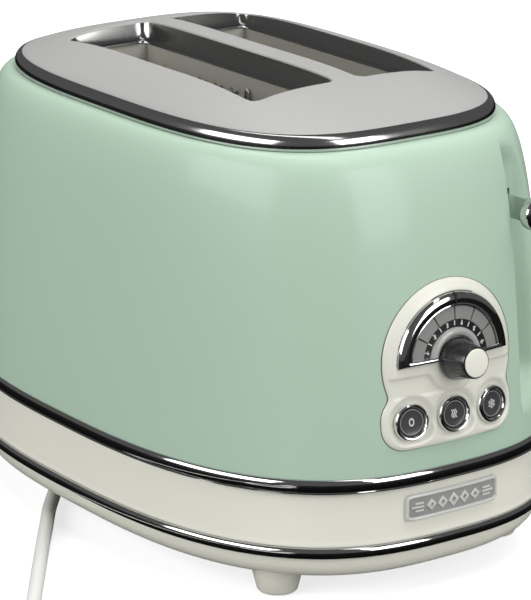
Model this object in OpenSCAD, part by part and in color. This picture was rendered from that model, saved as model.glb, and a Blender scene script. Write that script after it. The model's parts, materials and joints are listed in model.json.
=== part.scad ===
// Pop up toaster with two bread slots, as separate pieces.
// Frame: origin on the floor under the middle of the body, X along the length
// with the controls at +X, Y across, Z up, millimetres.

/* [Body] */
// Length of the body at its foot
body_l = 283; // [270:1:300]
// Width of the body at its foot
body_w = 186; // [178:1:196]
// Length of the body at its shoulder
shoulder_l = 226.4; // [215:1:240]
// Width of the body at its shoulder
shoulder_w = 143.4; // [138:1:152]
// Height of the green shell
shell_h = 124.5; // [118:0.5:132]
// Sheet thickness of the shell
shell_t = 1.2; // [0.8:0.1:2]
// Height of the dome of the top plate
dome_h = 13.5; // [10:0.5:16]

/* [Base] */
// Height of the feet
foot_h = 11.5; // [10:0.5:14]
// Height of the base pan
pan_h = 10; // [8:0.5:12]
// Height of the cream skirt
skirt_h = 22.7; // [20:0.1:26]
// Height of the upper chrome trim
upper_trim_h = 6; // [5:0.5:7]
// Height of the lower chrome trim
lower_trim_h = 4.8; // [4:0.1:6]

/* [Bread] */
// Length of a bread slot
slot_l = 138.4; // [134:0.2:140]
// Width of a bread slot
slot_w = 40.4; // [38:0.2:41]
// Distance of a slot's middle from the middle of the body
slot_y = 25.6; // [25:0.1:26.5]
// Travel of the bread carriage
lift = 60; // [50:1:62]

/* [Controls] */
// Lean of the control panel, in degrees
panel_tilt = 6; // [4:0.5:8]
// Radius of the control panel's curve across the body
panel_r = 140; // [120:5:200]
// Outer radius of the half-round gauge
gauge_r = 26.5; // [24:0.5:27]
// Distance between two buttons
button_pitch = 20; // [19:0.5:21]

/* [Cord] */
// Diameter of the mains cord
cord_d = 6; // [5:0.5:7]
// Mean radius of the coil
coil_r = 33; // [30:1:36]

/* [Hidden] */
$fn = 64;

// Levels, from the floor up
pan_top = foot_h + pan_h;
skirt_z = pan_top + lower_trim_h;
skirt_top = skirt_z + skirt_h;
shell_z = skirt_top + upper_trim_h;
shell_top = shell_z + shell_h;
rim_h = 6.4;
plate_z = shell_top + rim_h;

// Half sizes and squareness of the plan's outline
foot_half = [body_l / 2, body_w / 2];
shoulder_half = [shoulder_l / 2, shoulder_w / 2];
plate_half = shoulder_half - [3.3, 2.5];
foot_n = 2.72;
shoulder_n = 3.17;
plate_n = 3.25;
shoulder_power = 0.35;
plan_sides = 72;

// Chassis
chassis_z = 36;
end_x = 74;
end_half_y = 56;
guard_top = 172;
guard_y = 16.5;
rack_z = 110.5;
rack_half_y = 7.5;

// Carriage
carriage_x = 79;
carriage_z = 101;
carriage_h = 27;
rod_x = 87;
rod_d = 5;
rod_top = 165;
magnet_y = -15;
magnet_x = 96;
armature_z = 116;

// Lever and its channel
lever_y = 45.5;
lever_z = 146.7;
lever_h = 10;
lever_t = 2.8;
knob_face_x = 136.5;
channel_x = 114;
channel_y = [38.4, 60];
channel_z = [70, 175];

// Control panel: a local frame with u across, v up the panel and w outwards
panel_x = 137.65;
panel_z = 97.5;
panel_top_w = 2.2;
panel_back_w = -6;
board_w = -16;
button_v = -22.6;

// Crumb tray
tray_z = 29;
tray_half_y = 56;

// Cord: the route's points along its middle, from the strain relief to the coil
cord_route = [
    [-86, -36, 9], [-76, -44.5, 6.5], [-66, -53, 4.5], [-56, -61.5, 3.4], [-46, -69.5, 3],
    [-36, -77.5, 3], [-25, -86, 3], [-10, -96.5, 3], [4, -106.5, 3], [22, -119, 3],
    [40, -131.5, 3], [58, -144, 3], [76, -156.5, 3], [94, -169, 3], [111, -181, 3.3],
    [124, -189.5, 3.6]
];
tail_route = [[144, -196.5, 8.8], [154, -199, 9], [164, -200.5, 7.2], [174, -202, 5.4]];
relief_start = [-112, -14, 17];
coil_at = [148, -163, 0.6];
plug_turn = -9;
plug_lean = 20.6;

// ---- Outlines and lofts ----

function outline_point(half, n, turn) =
    let (r = pow(pow(abs(cos(turn)) / half[0], n) + pow(abs(sin(turn)) / half[1], n), -1 / n))
    [r * cos(turn), r * sin(turn)];

function outline(half, n, inset = 0) =
    [for (i = [0:plan_sides - 1]) outline_point(half - [inset, inset], n, 360 * i / plan_sides)];

function lifted(points, z) = [for (p = points) [p[0], p[1], z]];

function mix(a, b, t) = a + (b - a) * t;

// The shell narrows by a power of the depth below its shoulder
function shell_share(z) = pow(max(shell_top - z, 0) / shell_h, shoulder_power);
function shell_ring(z, inset) =
    let (t = shell_share(z))
    lifted(outline(mix(shoulder_half, foot_half, t), mix(shoulder_n, foot_n, t), inset), z);

module between(lower, upper) {
    last = len(lower) - 1;
    hull() polyhedron(
        points = concat(lower, upper),
        faces = [[for (i = [0:last]) i], [for (i = [0:last]) last + 1 + i]]
    );
}

module loft(rings) {
    for (i = [0:len(rings) - 2]) between(rings[i], rings[i + 1]);
}

module slab(half, n, z, h) {
    translate([0, 0, z]) linear_extrude(h) polygon(outline(half, n));
}

// A band round the body, with a rounded outside given as [outset, z] pairs
module band(half, n, profile, wall) {
    low = profile[0][1];
    high = profile[len(profile) - 1][1];
    difference() {
        hull() polyhedron(
            points = [for (p = profile) each lifted(outline(half, n, -p[0]), p[1])],
            faces = [for (k = [0:len(profile) - 1]) [for (i = [0:plan_sides - 1]) k * plan_sides + i]]
        );
        slab(half - [wall, wall], n, low - 1, high - low + 2);
    }
}

// ---- Body ----

shell_levels = [for (i = [0:10]) shell_top - shell_h * pow(1 - i / 10, 2.4)];

module shell_solid(inset, beyond = 0) {
    levels = beyond > 0 ? concat([shell_z - beyond], shell_levels, [shell_top + beyond]) : shell_levels;
    loft([for (z = levels) shell_ring(z, inset)]);
}

// The lever's channel, from its vertical floor outwards
module channel_block(grow) {
    round_r = 10;
    hull() for (end = [channel_z[0] + round_r, channel_z[1] - round_r], x = [channel_x + round_r, 200])
        translate([x, channel_y[0] - grow, end]) rotate([-90, 0, 0])
            cylinder(r = round_r + grow, h = channel_y[1] - channel_y[0] + 2 * grow, $fn = 32);
}

module lever_slit() {
    gap = 1.4;
    translate([channel_x - 8, lever_y - lever_t / 2 - gap / 2, lever_z - lever_h / 2 - lift - 1.5])
        cube([16, lever_t + gap, lever_h + lift + 3]);
}

module body_shell() color([0.66, 0.76, 0.68]) difference() {
    shell_solid(0);
    difference() {
        shell_solid(shell_t, 1);
        channel_block(shell_t);
    }
    channel_block(0);
    lever_slit();
    at_panel() translate([0, 0, -12]) linear_extrude(24) panel_outline(0.15);
}

liner_wall = 0.9;
dome_shares = [1, 0.95, 0.87, 0.74, 0.56, 0.36, 0.16];
function dome_level(share) = plate_z + dome_h * (1 - pow(share, 3));

module dome_solid(depth, inset = 0) {
    loft(concat(
        [lifted(outline(plate_half, plate_n, inset), plate_z - depth)],
        [for (s = dome_shares) lifted(outline(plate_half * s, plate_n, inset), dome_level(s))]
    ));
}

// The tapering space of a bread slot
module slot_space(side, grow) {
    mouth_z = plate_z + dome_h + 2;
    throat_z = plate_z + 2.2;
    hull() {
        translate([0, side * slot_y, mouth_z])
            slot_outline(slot_l / 2 + 1.4 + grow, slot_w / 2 + 1.1 + grow);
        translate([0, side * slot_y, throat_z])
            slot_outline(slot_l / 2 - 5.7 + grow, slot_w / 2 - 4 + grow);
    }
}

module slot_outline(half_x, half_y) {
    corner = 4.5;
    linear_extrude(0.02) hull() for (x = [-1, 1], y = [-1, 1])
        translate([x * (half_x - corner), y * (half_y - corner)]) circle(corner, $fn = 16);
}

module top_plate() color([0.80, 0.80, 0.79]) difference() {
    dome_solid(1.3);
    translate([0, 0, -1]) dome_solid(4, 1);
    for (side = [-1, 1]) translate([0, side * slot_y, plate_z - 5]) scale([1, 1, 1500])
        slot_outline(slot_l / 2 + liner_wall + 1, slot_w / 2 + liner_wall + 0.7);
}

module slot_liner(side) color([0.62, 0.62, 0.63]) intersection() {
    dome_solid(6);
    difference() {
        slot_space(side, liner_wall);
        slot_space(side, 0);
    }
}

module slot_liner_near() slot_liner(-1);
module slot_liner_far() slot_liner(1);

// Upright sheet walls under the liners
module slot_sleeves() color([0.62, 0.62, 0.62]) for (side = [-1, 1])
    translate([0, side * slot_y, guard_top + 2]) linear_extrude(plate_z + 1.8 - guard_top - 2) difference() {
        square([130.4, 35], center = true);
        square([128.8, 33.4], center = true);
    }

module top_rim() color([0.45, 0.45, 0.46])
    difference() {
        hull() polyhedron(
            points = concat(
                lifted(outline(shoulder_half, shoulder_n), shell_top),
                lifted(outline(shoulder_half, shoulder_n, -0.4), shell_top + 2.4),
                lifted(outline(plate_half, plate_n, -2.4), shell_top + 4.9),
                lifted(outline(plate_half, plate_n, -0.5), plate_z)
            ),
            faces = [for (k = [0:3]) [for (i = [0:plan_sides - 1]) k * plan_sides + i]]
        );
        slab(plate_half, plate_n, shell_top - 1, rim_h + 2);
    }

// ---- Base ----

module upper_trim() color([0.45, 0.45, 0.46])
    band(foot_half, foot_n, [[0.2, skirt_top], [1.5, skirt_top + 1.6], [1.5, skirt_top + 4.4], [0, shell_z]], 3);

module lower_trim() color([0.45, 0.45, 0.46])
    band(foot_half - [1.6, 0.4], foot_n,
        [[0.3, pan_top], [1.7, pan_top + 1.4], [1.7, pan_top + 3.4], [0.2, skirt_z]], 2);

module skirt_ring(outset, wall) {
    half = foot_half - [1.2, 0.4] + [outset, outset];
    difference() {
        slab(half, foot_n, skirt_z, skirt_h);
        slab(half - [wall, wall], foot_n, skirt_z - 1, skirt_h + 2);
    }
}

module tray_mouth(gap) {
    translate([-body_l, -tray_half_y - 2 - gap, tray_z - 1 - gap])
        cube([body_l, 2 * (tray_half_y + 2 + gap), 8 + 2 * gap]);
}

module base_skirt() color([0.84, 0.83, 0.79]) difference() {
    skirt_ring(0, 2.4);
    tray_mouth(0.3);
}

// The pan curves under to a flat bottom
module pan_solid(inset, floor_t) {
    half = foot_half - [2.5, 1.2];
    hull() polyhedron(
        points = concat(
            lifted(outline(half, foot_n, inset), pan_top),
            lifted(outline(half, foot_n, inset + 0.6), pan_top - 3),
            lifted(outline(half, foot_n, inset + 2.4), foot_h + 3 + floor_t / 2),
            lifted(outline(half, foot_n, inset + 8), foot_h + floor_t)
        ),
        faces = [for (k = [0:3]) [for (i = [0:plan_sides - 1]) k * plan_sides + i]]
    );
}

post_at = [80, 64];
module at_posts() for (x = [-1, 1], y = [-1, 1]) translate([x * post_at[0], y * post_at[1], 0]) children();

relief_turn = -40.4;
module relief_window(grow) {
    translate([relief_start[0], relief_start[1], foot_h - 1]) rotate([0, 0, relief_turn])
        translate([-8, -9 - grow, 0]) cube([54, 18 + 2 * grow, 14]);
}

module base_pan() color([0.84, 0.83, 0.79]) difference() {
    union() {
        difference() {
            pan_solid(0, 0);
            translate([0, 0, 0.01]) pan_solid(2, 2);
        }
        at_posts() translate([0, 0, foot_h + 1]) cylinder(d = 9, h = chassis_z - foot_h - 1);
        for (y = [-1, 1]) translate([-60, y * 51 - 1, foot_h + 1]) cube([126, 2, tray_z - foot_h - 1.2]);
    }
    relief_window(0);
    at_posts() translate([0, 0, foot_h - 1]) cylinder(d = 3.8, h = 14);
}

module at_feet() for (x = [-1, 1], y = [-1, 1]) translate([x * 99, y * 55.5, 0]) children();

module feet() color([0.84, 0.83, 0.79])
    at_feet() translate([0, 0, 1.2]) cylinder(d1 = 13.5, d2 = 20, h = foot_h - 1.2);

module foot_pads() color([0.30, 0.30, 0.30]) at_feet() cylinder(d1 = 11.5, d2 = 12.5, h = 1.2);

module base_screws() color([0.60, 0.60, 0.60]) at_posts() {
    translate([0, 0, foot_h - 1.8]) cylinder(d = 7, h = 1.8);
    translate([0, 0, foot_h]) cylinder(d = 3.6, h = 12);
}

module badge_plate() color([0.62, 0.62, 0.63]) intersection() {
    skirt_ring(1.6, 1.6);
    translate([foot_half[0] - 8, -22, 34.5]) cube([20, 44, 9.5]);
}

module crumb_tray() color([0.70, 0.70, 0.70]) difference() {
    translate([-121, -tray_half_y, tray_z]) cube([187, 2 * tray_half_y, 6]);
    translate([-120, -tray_half_y + 1, tray_z + 1]) cube([185, 2 * tray_half_y - 2, 6]);
}

module crumb_tray_front() color([0.84, 0.83, 0.79]) {
    intersection() {
        skirt_ring(0, 2.4);
        tray_mouth(0);
    }
    intersection() {
        slab(foot_half - [3.5, 2.7], foot_n, tray_z, 4);
        for (y = [-1, 1]) translate([-139, y * 40 - 5, tray_z]) cube([18, 10, 4]);
    }
    intersection() {
        skirt_ring(2.6, 3.4);
        translate([-body_l, -20, tray_z + 2.6]) cube([body_l, 40, 1.8]);
    }
}

// ---- Control panel ----

module at_panel() translate([panel_x, 0, panel_z]) rotate([0, -panel_tilt, 0]) rotate([90, 0, 90]) children();

// The panel's curve across the body, raised by h
module panel_curve(h) translate([0, 0, panel_top_w - panel_r]) rotate([90, 0, 0])
    cylinder(r = panel_r + h, h = 120, center = true, $fn = 240);

// A place on the curve: local z is the surface's normal
module on_panel(u, v) translate([0, v, panel_top_w - panel_r]) rotate([0, asin(u / panel_r), 0])
    translate([0, 0, panel_r]) children();

module rounded_bar(half_u, low, high, corner) {
    translate([-half_u + corner, low]) square([2 * (half_u - corner), high - low]);
    translate([-half_u, low + corner]) square([2 * half_u, high - low - 2 * corner]);
    for (u = [-1, 1], v = [low + corner, high - corner])
        translate([u * (half_u - corner), v]) circle(corner);
}

module panel_outline(grow) {
    circle(31.3 + grow, $fn = 120);
    rounded_bar(32.6 + grow, -33.4 - grow, -11 + grow, 10);
}

module half_disc(r) intersection() {
    circle(r, $fn = 96);
    translate([-r - 1, 0]) square([2 * r + 2, r + 1]);
}

module control_panel() color([0.84, 0.83, 0.79]) at_panel() difference() {
    union() {
        intersection() {
            translate([0, 0, panel_back_w]) linear_extrude(16) panel_outline(0);
            panel_curve(0);
        }
        intersection() {
            linear_extrude(10) union() {
                translate([-gauge_r, -5]) square([2 * gauge_r, 4.8]);
                circle(12.2);
            }
            panel_curve(1.3);
        }
        for (u = [-1, 1], v = [-29, 22]) translate([u * 23, v, board_w + 1.6])
            cylinder(d = 6, h = panel_back_w - board_w - 1.5, $fn = 32);
    }
    translate([0, 0, -2]) linear_extrude(20) half_disc(gauge_r + 0.1);
    translate([0, 0, -20]) cylinder(d = 8, h = 40);
    for (u = [-1, 0, 1]) on_panel(u * button_pitch, button_v) translate([0, 0, -12]) cylinder(r = 7, h = 20);
}

module dial_bezel() color([0.45, 0.45, 0.46]) at_panel() intersection() {
    difference() {
        translate([0, 0, -2]) linear_extrude(20) difference() {
            half_disc(gauge_r);
            circle(gauge_r - 4.5, $fn = 96);
        }
    }
    panel_curve(1.5);
}

module dial_face() color([0.42, 0.42, 0.43]) at_panel() intersection() {
    translate([0, 0, -2]) linear_extrude(20) difference() {
        half_disc(gauge_r - 4.6);
        circle(12.6);
    }
    panel_curve(0.5);
}

module dial_inner_ring() color([0.45, 0.45, 0.46]) at_panel() intersection() {
    translate([0, 0, -2]) linear_extrude(20) difference() {
        half_disc(12.5);
        circle(9.6);
    }
    panel_curve(1.3);
}

knob_w = 3.7;
module browning_knob() color([0.06, 0.06, 0.06]) at_panel() difference() {
    union() {
        translate([0, 0, knob_w]) cylinder(d = 17, h = 2);
        translate([0, 0, knob_w + 2]) cylinder(d1 = 16.4, d2 = 12.4, h = 11);
    }
    translate([0, 0, knob_w - 1]) cylinder(r = 3.05, h = 11);
}

module knob_cap() color([0.84, 0.83, 0.79]) at_panel()
    translate([0, 0, knob_w + 13]) cylinder(d = 11.4, h = 0.8);

module control_shaft() color([0.70, 0.70, 0.70]) at_panel()
    translate([0, 0, board_w + 4.6]) cylinder(r = 3, h = knob_w + 9 - board_w - 4.6);

module rotary_control() color([0.25, 0.25, 0.27]) at_panel() difference() {
    translate([0, 0, board_w + 1.6]) cylinder(r = 8.5, h = 8);
    translate([0, 0, board_w + 4]) cylinder(r = 3.05, h = 12);
}

module at_buttons() for (u = [-1, 0, 1]) on_panel(u * button_pitch, button_v) children();

module button_bezels() color([0.45, 0.45, 0.46]) at_panel() at_buttons() difference() {
    union() {
        translate([0, 0, -3]) cylinder(r = 6.9, h = 3.2);
        translate([0, 0, 0.05]) cylinder(r1 = 8, r2 = 7.2, h = 1.4);
    }
    translate([0, 0, -4]) cylinder(r = 6.1, h = 8);
}

module push_button(u) color([0.28, 0.28, 0.30]) at_panel() on_panel(u, button_v) {
    translate([0, 0, -3]) cylinder(r = 5.85, h = 4);
    translate([0, 0, -9.4]) cylinder(r = 2, h = 6.5, $fn = 32);
}

module button_cancel() push_button(-button_pitch);
module button_reheat() push_button(0);
module button_defrost() push_button(button_pitch);

module control_board() color([0.20, 0.35, 0.22]) at_panel() translate([-30, -31.5, board_w]) cube([60, 61.5, 1.6]);

module board_switches() color([0.15, 0.15, 0.15]) at_panel()
    for (u = [-1, 0, 1]) translate([u * (button_pitch - 1.4) - 3, button_v - 3, board_w + 1.6]) cube([6, 6, 3.2]);

module board_screws() color([0.65, 0.65, 0.65]) at_panel()
    for (u = [-1, 1], v = [-29, 22]) translate([u * 23, v, board_w - 1.6]) cylinder(d = 5.5, h = 1.6, $fn = 32);

// ---- Lever and carriage ----

module lever_arm() color([0.62, 0.62, 0.63])
    translate([carriage_x + 1.5, lever_y - lever_t / 2, lever_z - lever_h / 2])
        cube([knob_face_x - 7.5 - carriage_x - 1.5, lever_t, lever_h]);

module lever_knob() color([0.62, 0.62, 0.63]) translate([knob_face_x, lever_y, lever_z]) rotate([0, -90, 0]) {
    cylinder(r1 = 5.6, r2 = 6.6, h = 1.2);
    translate([0, 0, 1.2]) cylinder(r = 6.6, h = 4);
    translate([0, 0, 5.2]) cylinder(r1 = 6.6, r2 = 4.4, h = 2.3);
}

module carriage() color([0.68, 0.68, 0.68]) difference() {
    union() {
        translate([carriage_x, -34, carriage_z]) cube([1.5, 81.5, carriage_h]);
        translate([carriage_x, 38, carriage_z]) cube([1.5, 9.5, lever_z + lever_h / 2 - carriage_z]);
        translate([rod_x, 0, carriage_z]) cylinder(d = 10, h = carriage_h);
        translate([carriage_x, -3, carriage_z]) cube([rod_x - carriage_x, 6, carriage_h]);
        translate([carriage_x, -18, carriage_z + carriage_h - 1.5]) cube([12, 36, 1.5]);
    }
    translate([rod_x, 0, carriage_z - 1]) cylinder(d = rod_d + 0.1, h = carriage_h + 2);
}

module bread_rack(side) color([0.68, 0.68, 0.68]) translate([0, side * slot_y, rack_z]) {
    translate([-64, -2, 0]) cube([64 + carriage_x, 4, 1.5]);
    for (x = [-60:12:60]) translate([x - 1.25, -rack_half_y, 0]) cube([2.5, 2 * rack_half_y, 1.5]);
}

module bread_rack_near() bread_rack(-1);
module bread_rack_far() bread_rack(1);

module armature_plate() color([0.50, 0.50, 0.52])
    translate([carriage_x + 1.5, magnet_y - 6, armature_z]) cube([22, 12, 1.5]);

module guide_rod() color([0.75, 0.75, 0.75])
    translate([rod_x, 0, chassis_z + 1]) cylinder(d = rod_d, h = rod_top - chassis_z - 1);

// A spring wound from rings that follow its helix
spring_turns = 8;
spring_steps = 12;
function spring_ring(turn, height, r, wire) = [for (k = [0:4])
    let (rr = r + wire * cos(72 * k))
    [rr * cos(turn), rr * sin(turn), height + wire * sin(72 * k)]];

module tube(rings) {
    sides = len(rings[0]);
    last = len(rings) - 1;
    polyhedron(
        points = [for (r = rings) each r],
        faces = concat(
            [[for (i = [0:sides - 1]) i]],
            [for (j = [0:last - 1], i = [0:sides - 1])
                let (a = j * sides, b = a + sides, next = (i + 1) % sides)
                each [[a + i, b + i, b + next], [a + i, b + next, a + next]]],
            [[for (i = [sides - 1:-1:0]) last * sides + i]]
        )
    );
}

module return_springs() color([0.60, 0.60, 0.60]) {
    low = carriage_z + carriage_h + 0.7;
    high = rod_top - 0.7;
    for (side = [-1, 1]) translate([rod_x - 1, side * 13, 0]) tube([
        for (i = [0:spring_turns * spring_steps])
            spring_ring(360 * i / spring_steps, mix(low, high, i / (spring_turns * spring_steps)), 3.4, 0.6)
    ]);
}

module magnet_bobbin() color([0.55, 0.30, 0.15]) translate([magnet_x, magnet_y, chassis_z + 1]) difference() {
    union() {
        cylinder(d = 17, h = 1.5);
        translate([0, 0, 1.4]) cylinder(d = 14.5, h = 12.2);
        translate([0, 0, 13.5]) cylinder(d = 17, h = 1.5);
    }
    translate([0, 0, -1]) cylinder(d = 6.4, h = 20);
}

module magnet_core() color([0.50, 0.50, 0.52]) translate([magnet_x, magnet_y, chassis_z + 1])
    cylinder(d = 6, h = armature_z - lift - 0.4 - chassis_z - 1);

// ---- Chassis ----

module chassis_floor() color([0.70, 0.70, 0.70]) difference() {
    translate([-85, -69, chassis_z]) cube([192, 138, 1]);
    translate([-68, -50, chassis_z - 1]) cube([136, 100, 3]);
}

module end_plate_blank(x) translate([x, -end_half_y, chassis_z + 1]) cube([1, 2 * end_half_y, 134]);

module chassis_front_plate() color([0.70, 0.70, 0.70]) {
    difference() {
        end_plate_blank(end_x);
        for (side = [-1, 1]) translate([end_x - 1, side * slot_y - 4, rack_z - lift - 3]) cube([3, 8, lift + 9]);
    }
    translate([end_x, -20, rod_top]) cube([18, 40, 1.2]);
}

module chassis_rear_plate() color([0.70, 0.70, 0.70]) end_plate_blank(-end_x - 1);

module side_shields() color([0.72, 0.72, 0.72])
    for (side = [-1, 1]) translate([-end_x + 0.1, side * 55 - 0.3, 40]) cube([2 * end_x - 0.2, 0.6, 128]);

board_y = [50.9, 3];
module heater_boards() color([0.72, 0.66, 0.52])
    for (side = [-1, 1], y = board_y) translate([-end_x + 0.1, side * y - 0.4, 46]) cube([2 * end_x - 0.2, 0.8, 120]);

module ribbon() {
    step = 12;
    rows = 8;
    for (i = [0:rows]) translate([-66, 56 + step * i]) square([132, 1.6]);
    for (i = [0:rows - 1]) translate([i % 2 == 0 ? 64.4 : -66, 56 + step * i]) square([1.6, step + 1.6]);
}

module heater_ribbons() color([0.50, 0.46, 0.42]) for (side = [-1, 1]) {
    translate([0, side * 50.5 + (side < 0 ? 0.5 : 0), 0]) rotate([90, 0, 0]) linear_extrude(0.5) ribbon();
    translate([0, side * 3.4 + (side > 0 ? 0.5 : 0), 0]) rotate([90, 0, 0]) linear_extrude(0.5) ribbon();
}

// A guard is a row of upright wires between two bars
module bread_guard(y) color([0.62, 0.62, 0.62]) translate([0, y, 0]) {
    for (x = [-60:20:60]) translate([x, 0, 50]) cylinder(d = 1.6, h = guard_top - 50, $fn = 24);
    for (z = [50, guard_top]) translate([-66, 0, z]) rotate([0, 90, 0]) cylinder(d = 2.2, h = 132, $fn = 24);
}

module guard_near_outer() bread_guard(-slot_y - guard_y);
module guard_near_inner() bread_guard(-slot_y + guard_y);
module guard_far_inner() bread_guard(slot_y - guard_y);
module guard_far_outer() bread_guard(slot_y + guard_y);

// ---- Cord ----

function unit(v) = v / norm(v);
function route_way(points, i) = unit(points[min(i + 1, len(points) - 1)] - points[max(i - 1, 0)]);
function tube_ring(middle, way, r, sides) =
    let (across = unit(cross([0, 0, 1], way)), up = cross(way, across))
    [for (k = [0:sides - 1]) let (a = 360 * (k + 0.5) / sides) middle + r * (cos(a) * across + sin(a) * up)];

// A cubic through four points of the route
function smooth(points, i, t) =
    let (
        last = len(points) - 1,
        a = points[max(i - 1, 0)],
        b = points[i],
        c = points[min(i + 1, last)],
        d = points[min(i + 2, last)]
    )
    0.5 * (2 * b + (c - a) * t + (2 * a - 5 * b + 4 * c - d) * pow(t, 2) + (3 * b - a - 3 * c + d) * pow(t, 3));

module swept_cord(points) {
    path = concat([for (i = [0:len(points) - 2], t = [0, 0.5]) smooth(points, i, t)], [points[len(points) - 1]]);
    tube([for (i = [0:len(path) - 1]) tube_ring(path[i], route_way(path, i), cord_d / 2, 10)]);
}

module mains_cord() color([0.90, 0.90, 0.89]) {
    swept_cord(cord_route);
    swept_cord(tail_route);
}

// Two turns lie side by side and one on them
module cord_coil() color([0.90, 0.90, 0.89]) translate(coil_at) rotate_extrude($fn = 96) translate([coil_r, 0]) {
    polygon([[-3, 0], [3, 0], [5.4, 1.2], [6, 3], [5.4, 5], [2.4, 10], [0, 11], [-2.4, 10], [-5.4, 5], [-6, 3], [-5.4, 1.2]]);
}

module cord_tie() color([0.25, 0.25, 0.25]) translate([coil_at[0], coil_at[1], 0]) rotate([0, 0, 60])
    translate([coil_r, -3, 0]) difference() {
        translate([-6.8, 0, 0]) cube([13.6, 6, 12.4]);
        translate([-6.2, -1, 0.6]) cube([12.4, 8, 11.2]);
    }

module cord_gland() color([0.84, 0.83, 0.79])
    translate([relief_start[0], relief_start[1], foot_h + 0.3]) rotate([0, 0, relief_turn]) {
        translate([-7.7, -8.5, 0]) cube([7.7, 17, 12]);
        translate([-12, -8.5, 2.2]) cube([12, 17, 9.8]);
    }

relief_way = unit(cord_route[0] - relief_start);
module strain_relief() color([0.90, 0.90, 0.89])
    translate(relief_start) rotate([0, acos(relief_way[2]), atan2(relief_way[1], relief_way[0])])
        difference() {
            cylinder(d1 = 10.4, d2 = cord_d + 1.6, h = norm(cord_route[0] - relief_start));
            translate([0, 0, norm(cord_route[0] - relief_start) - 3]) cylinder(d = cord_d, h = 4);
        }

// The plug lies on its rim and on the end of its grip
module at_plug() translate(tail_route[3]) rotate([0, 90 - plug_lean, plug_turn]) children();

plug_l = 46;
module plug_body() color([0.90, 0.90, 0.89]) at_plug() rotate_extrude($fn = 64)
    polygon([[0, 0], [6.5, 0], [6.5, 3], [8, 16], [11, 26], [17.5, 31], [18.5, 33], [18.5, 45], [17.7, plug_l], [0, plug_l]]);

module plug_pins() color([0.80, 0.72, 0.45]) at_plug()
    for (side = [-1, 1]) translate([0, side * 9.5, plug_l]) cylinder(d = 4.8, h = 19, $fn = 32);

// The part's origin is under the middle of its whole length, with the knob and the lever
middle_x = 6.1;
module placed() translate([-middle_x, 0, 0]) children();

placed() body_shell();
placed() top_plate();
placed() top_rim();
placed() slot_liner_near();
placed() slot_liner_far();
placed() slot_sleeves();
placed() upper_trim();
placed() base_skirt();
placed() lower_trim();
placed() base_pan();
placed() feet();
placed() foot_pads();
placed() base_screws();
placed() badge_plate();
placed() control_panel();
placed() dial_bezel();
placed() dial_face();
placed() dial_inner_ring();
placed() browning_knob();
placed() knob_cap();
placed() control_shaft();
placed() button_bezels();
placed() button_cancel();
placed() button_reheat();
placed() button_defrost();
placed() control_board();
placed() rotary_control();
placed() board_switches();
placed() board_screws();
placed() lever_arm();
placed() lever_knob();
placed() carriage();
placed() bread_rack_near();
placed() bread_rack_far();
placed() armature_plate();
placed() guide_rod();
placed() return_springs();
placed() magnet_bobbin();
placed() magnet_core();
placed() chassis_floor();
placed() chassis_front_plate();
placed() chassis_rear_plate();
placed() side_shields();
placed() heater_boards();
placed() heater_ribbons();
placed() guard_near_outer();
placed() guard_near_inner();
placed() guard_far_inner();
placed() guard_far_outer();
placed() crumb_tray();
placed() crumb_tray_front();
placed() cord_gland();
placed() strain_relief();
placed() mains_cord();
placed() cord_coil();
placed() cord_tie();
placed() plug_body();
placed() plug_pins();
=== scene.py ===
"""Looks of the pop up toaster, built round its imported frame. Sizes are in millimetres until a mesh is made."""
import json
import math

import bmesh
import bpy
import numpy as np
from mathutils import Matrix, Quaternion, Vector


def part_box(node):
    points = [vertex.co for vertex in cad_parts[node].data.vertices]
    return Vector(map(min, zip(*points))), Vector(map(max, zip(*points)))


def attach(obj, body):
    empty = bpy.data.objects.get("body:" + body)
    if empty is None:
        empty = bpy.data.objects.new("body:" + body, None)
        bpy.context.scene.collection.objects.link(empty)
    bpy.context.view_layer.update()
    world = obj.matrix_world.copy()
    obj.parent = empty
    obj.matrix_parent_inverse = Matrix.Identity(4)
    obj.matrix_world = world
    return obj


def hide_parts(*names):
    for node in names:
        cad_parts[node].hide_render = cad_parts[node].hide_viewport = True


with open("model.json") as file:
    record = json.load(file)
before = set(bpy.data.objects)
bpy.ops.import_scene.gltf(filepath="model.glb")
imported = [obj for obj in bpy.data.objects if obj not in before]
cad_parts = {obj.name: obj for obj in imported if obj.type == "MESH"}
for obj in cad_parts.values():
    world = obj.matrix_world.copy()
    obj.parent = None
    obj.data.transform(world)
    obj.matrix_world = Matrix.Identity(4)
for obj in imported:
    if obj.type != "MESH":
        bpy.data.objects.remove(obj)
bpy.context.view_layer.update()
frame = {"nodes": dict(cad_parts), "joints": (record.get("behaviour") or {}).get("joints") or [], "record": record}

MM = 0.001
MIDDLE = np.array((6.1, 0, 0))  # from the part's origin back to the body's own middle, where the outlines are centred

# ---------------------------------------------------------------- sizes, from the frame


def node_box(node):
    """A CAD node's lowest and highest corners, in millimetres from the body's middle."""
    low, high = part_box(node)
    return np.array(low) / MM + MIDDLE, np.array(high) / MM + MIDDLE


def joint(name):
    return next(j for j in frame["joints"] if j["name"] == name)


shell_low, shell_high = node_box("body_shell")
_, plate_high = node_box("top_plate")
_, rim_high = node_box("top_rim")
skirt_low, skirt_high = node_box("base_skirt")
pan_low, _ = node_box("base_pan")
lever_low, lever_high = node_box("lever_arm")
sleeve_low, _ = node_box("slot_sleeves")
guard_low, guard_high = node_box("guard_far_outer")

foot_half = shell_high[:2]
shell_z, shell_top = shell_low[2], shell_high[2]
plate_half = plate_high[:2]
shoulder_half = plate_half + (3.3, 2.5)
plate_z, dome_top = rim_high[2], plate_high[2]
skirt_z, skirt_top = skirt_low[2], skirt_high[2]
skirt_half = skirt_high[:2]
pan_top = node_box("lower_trim")[0][2]

FOOT_N, SHOULDER_N, PLATE_N = 2.72, 3.17, 3.25
SHOULDER_POWER = 0.35
SLOT_HALF, SLOT_Y, SLOT_CORNER = (69.2, 20.2), 25.6, 4.5

# ---------------------------------------------------------------- camera


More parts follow.
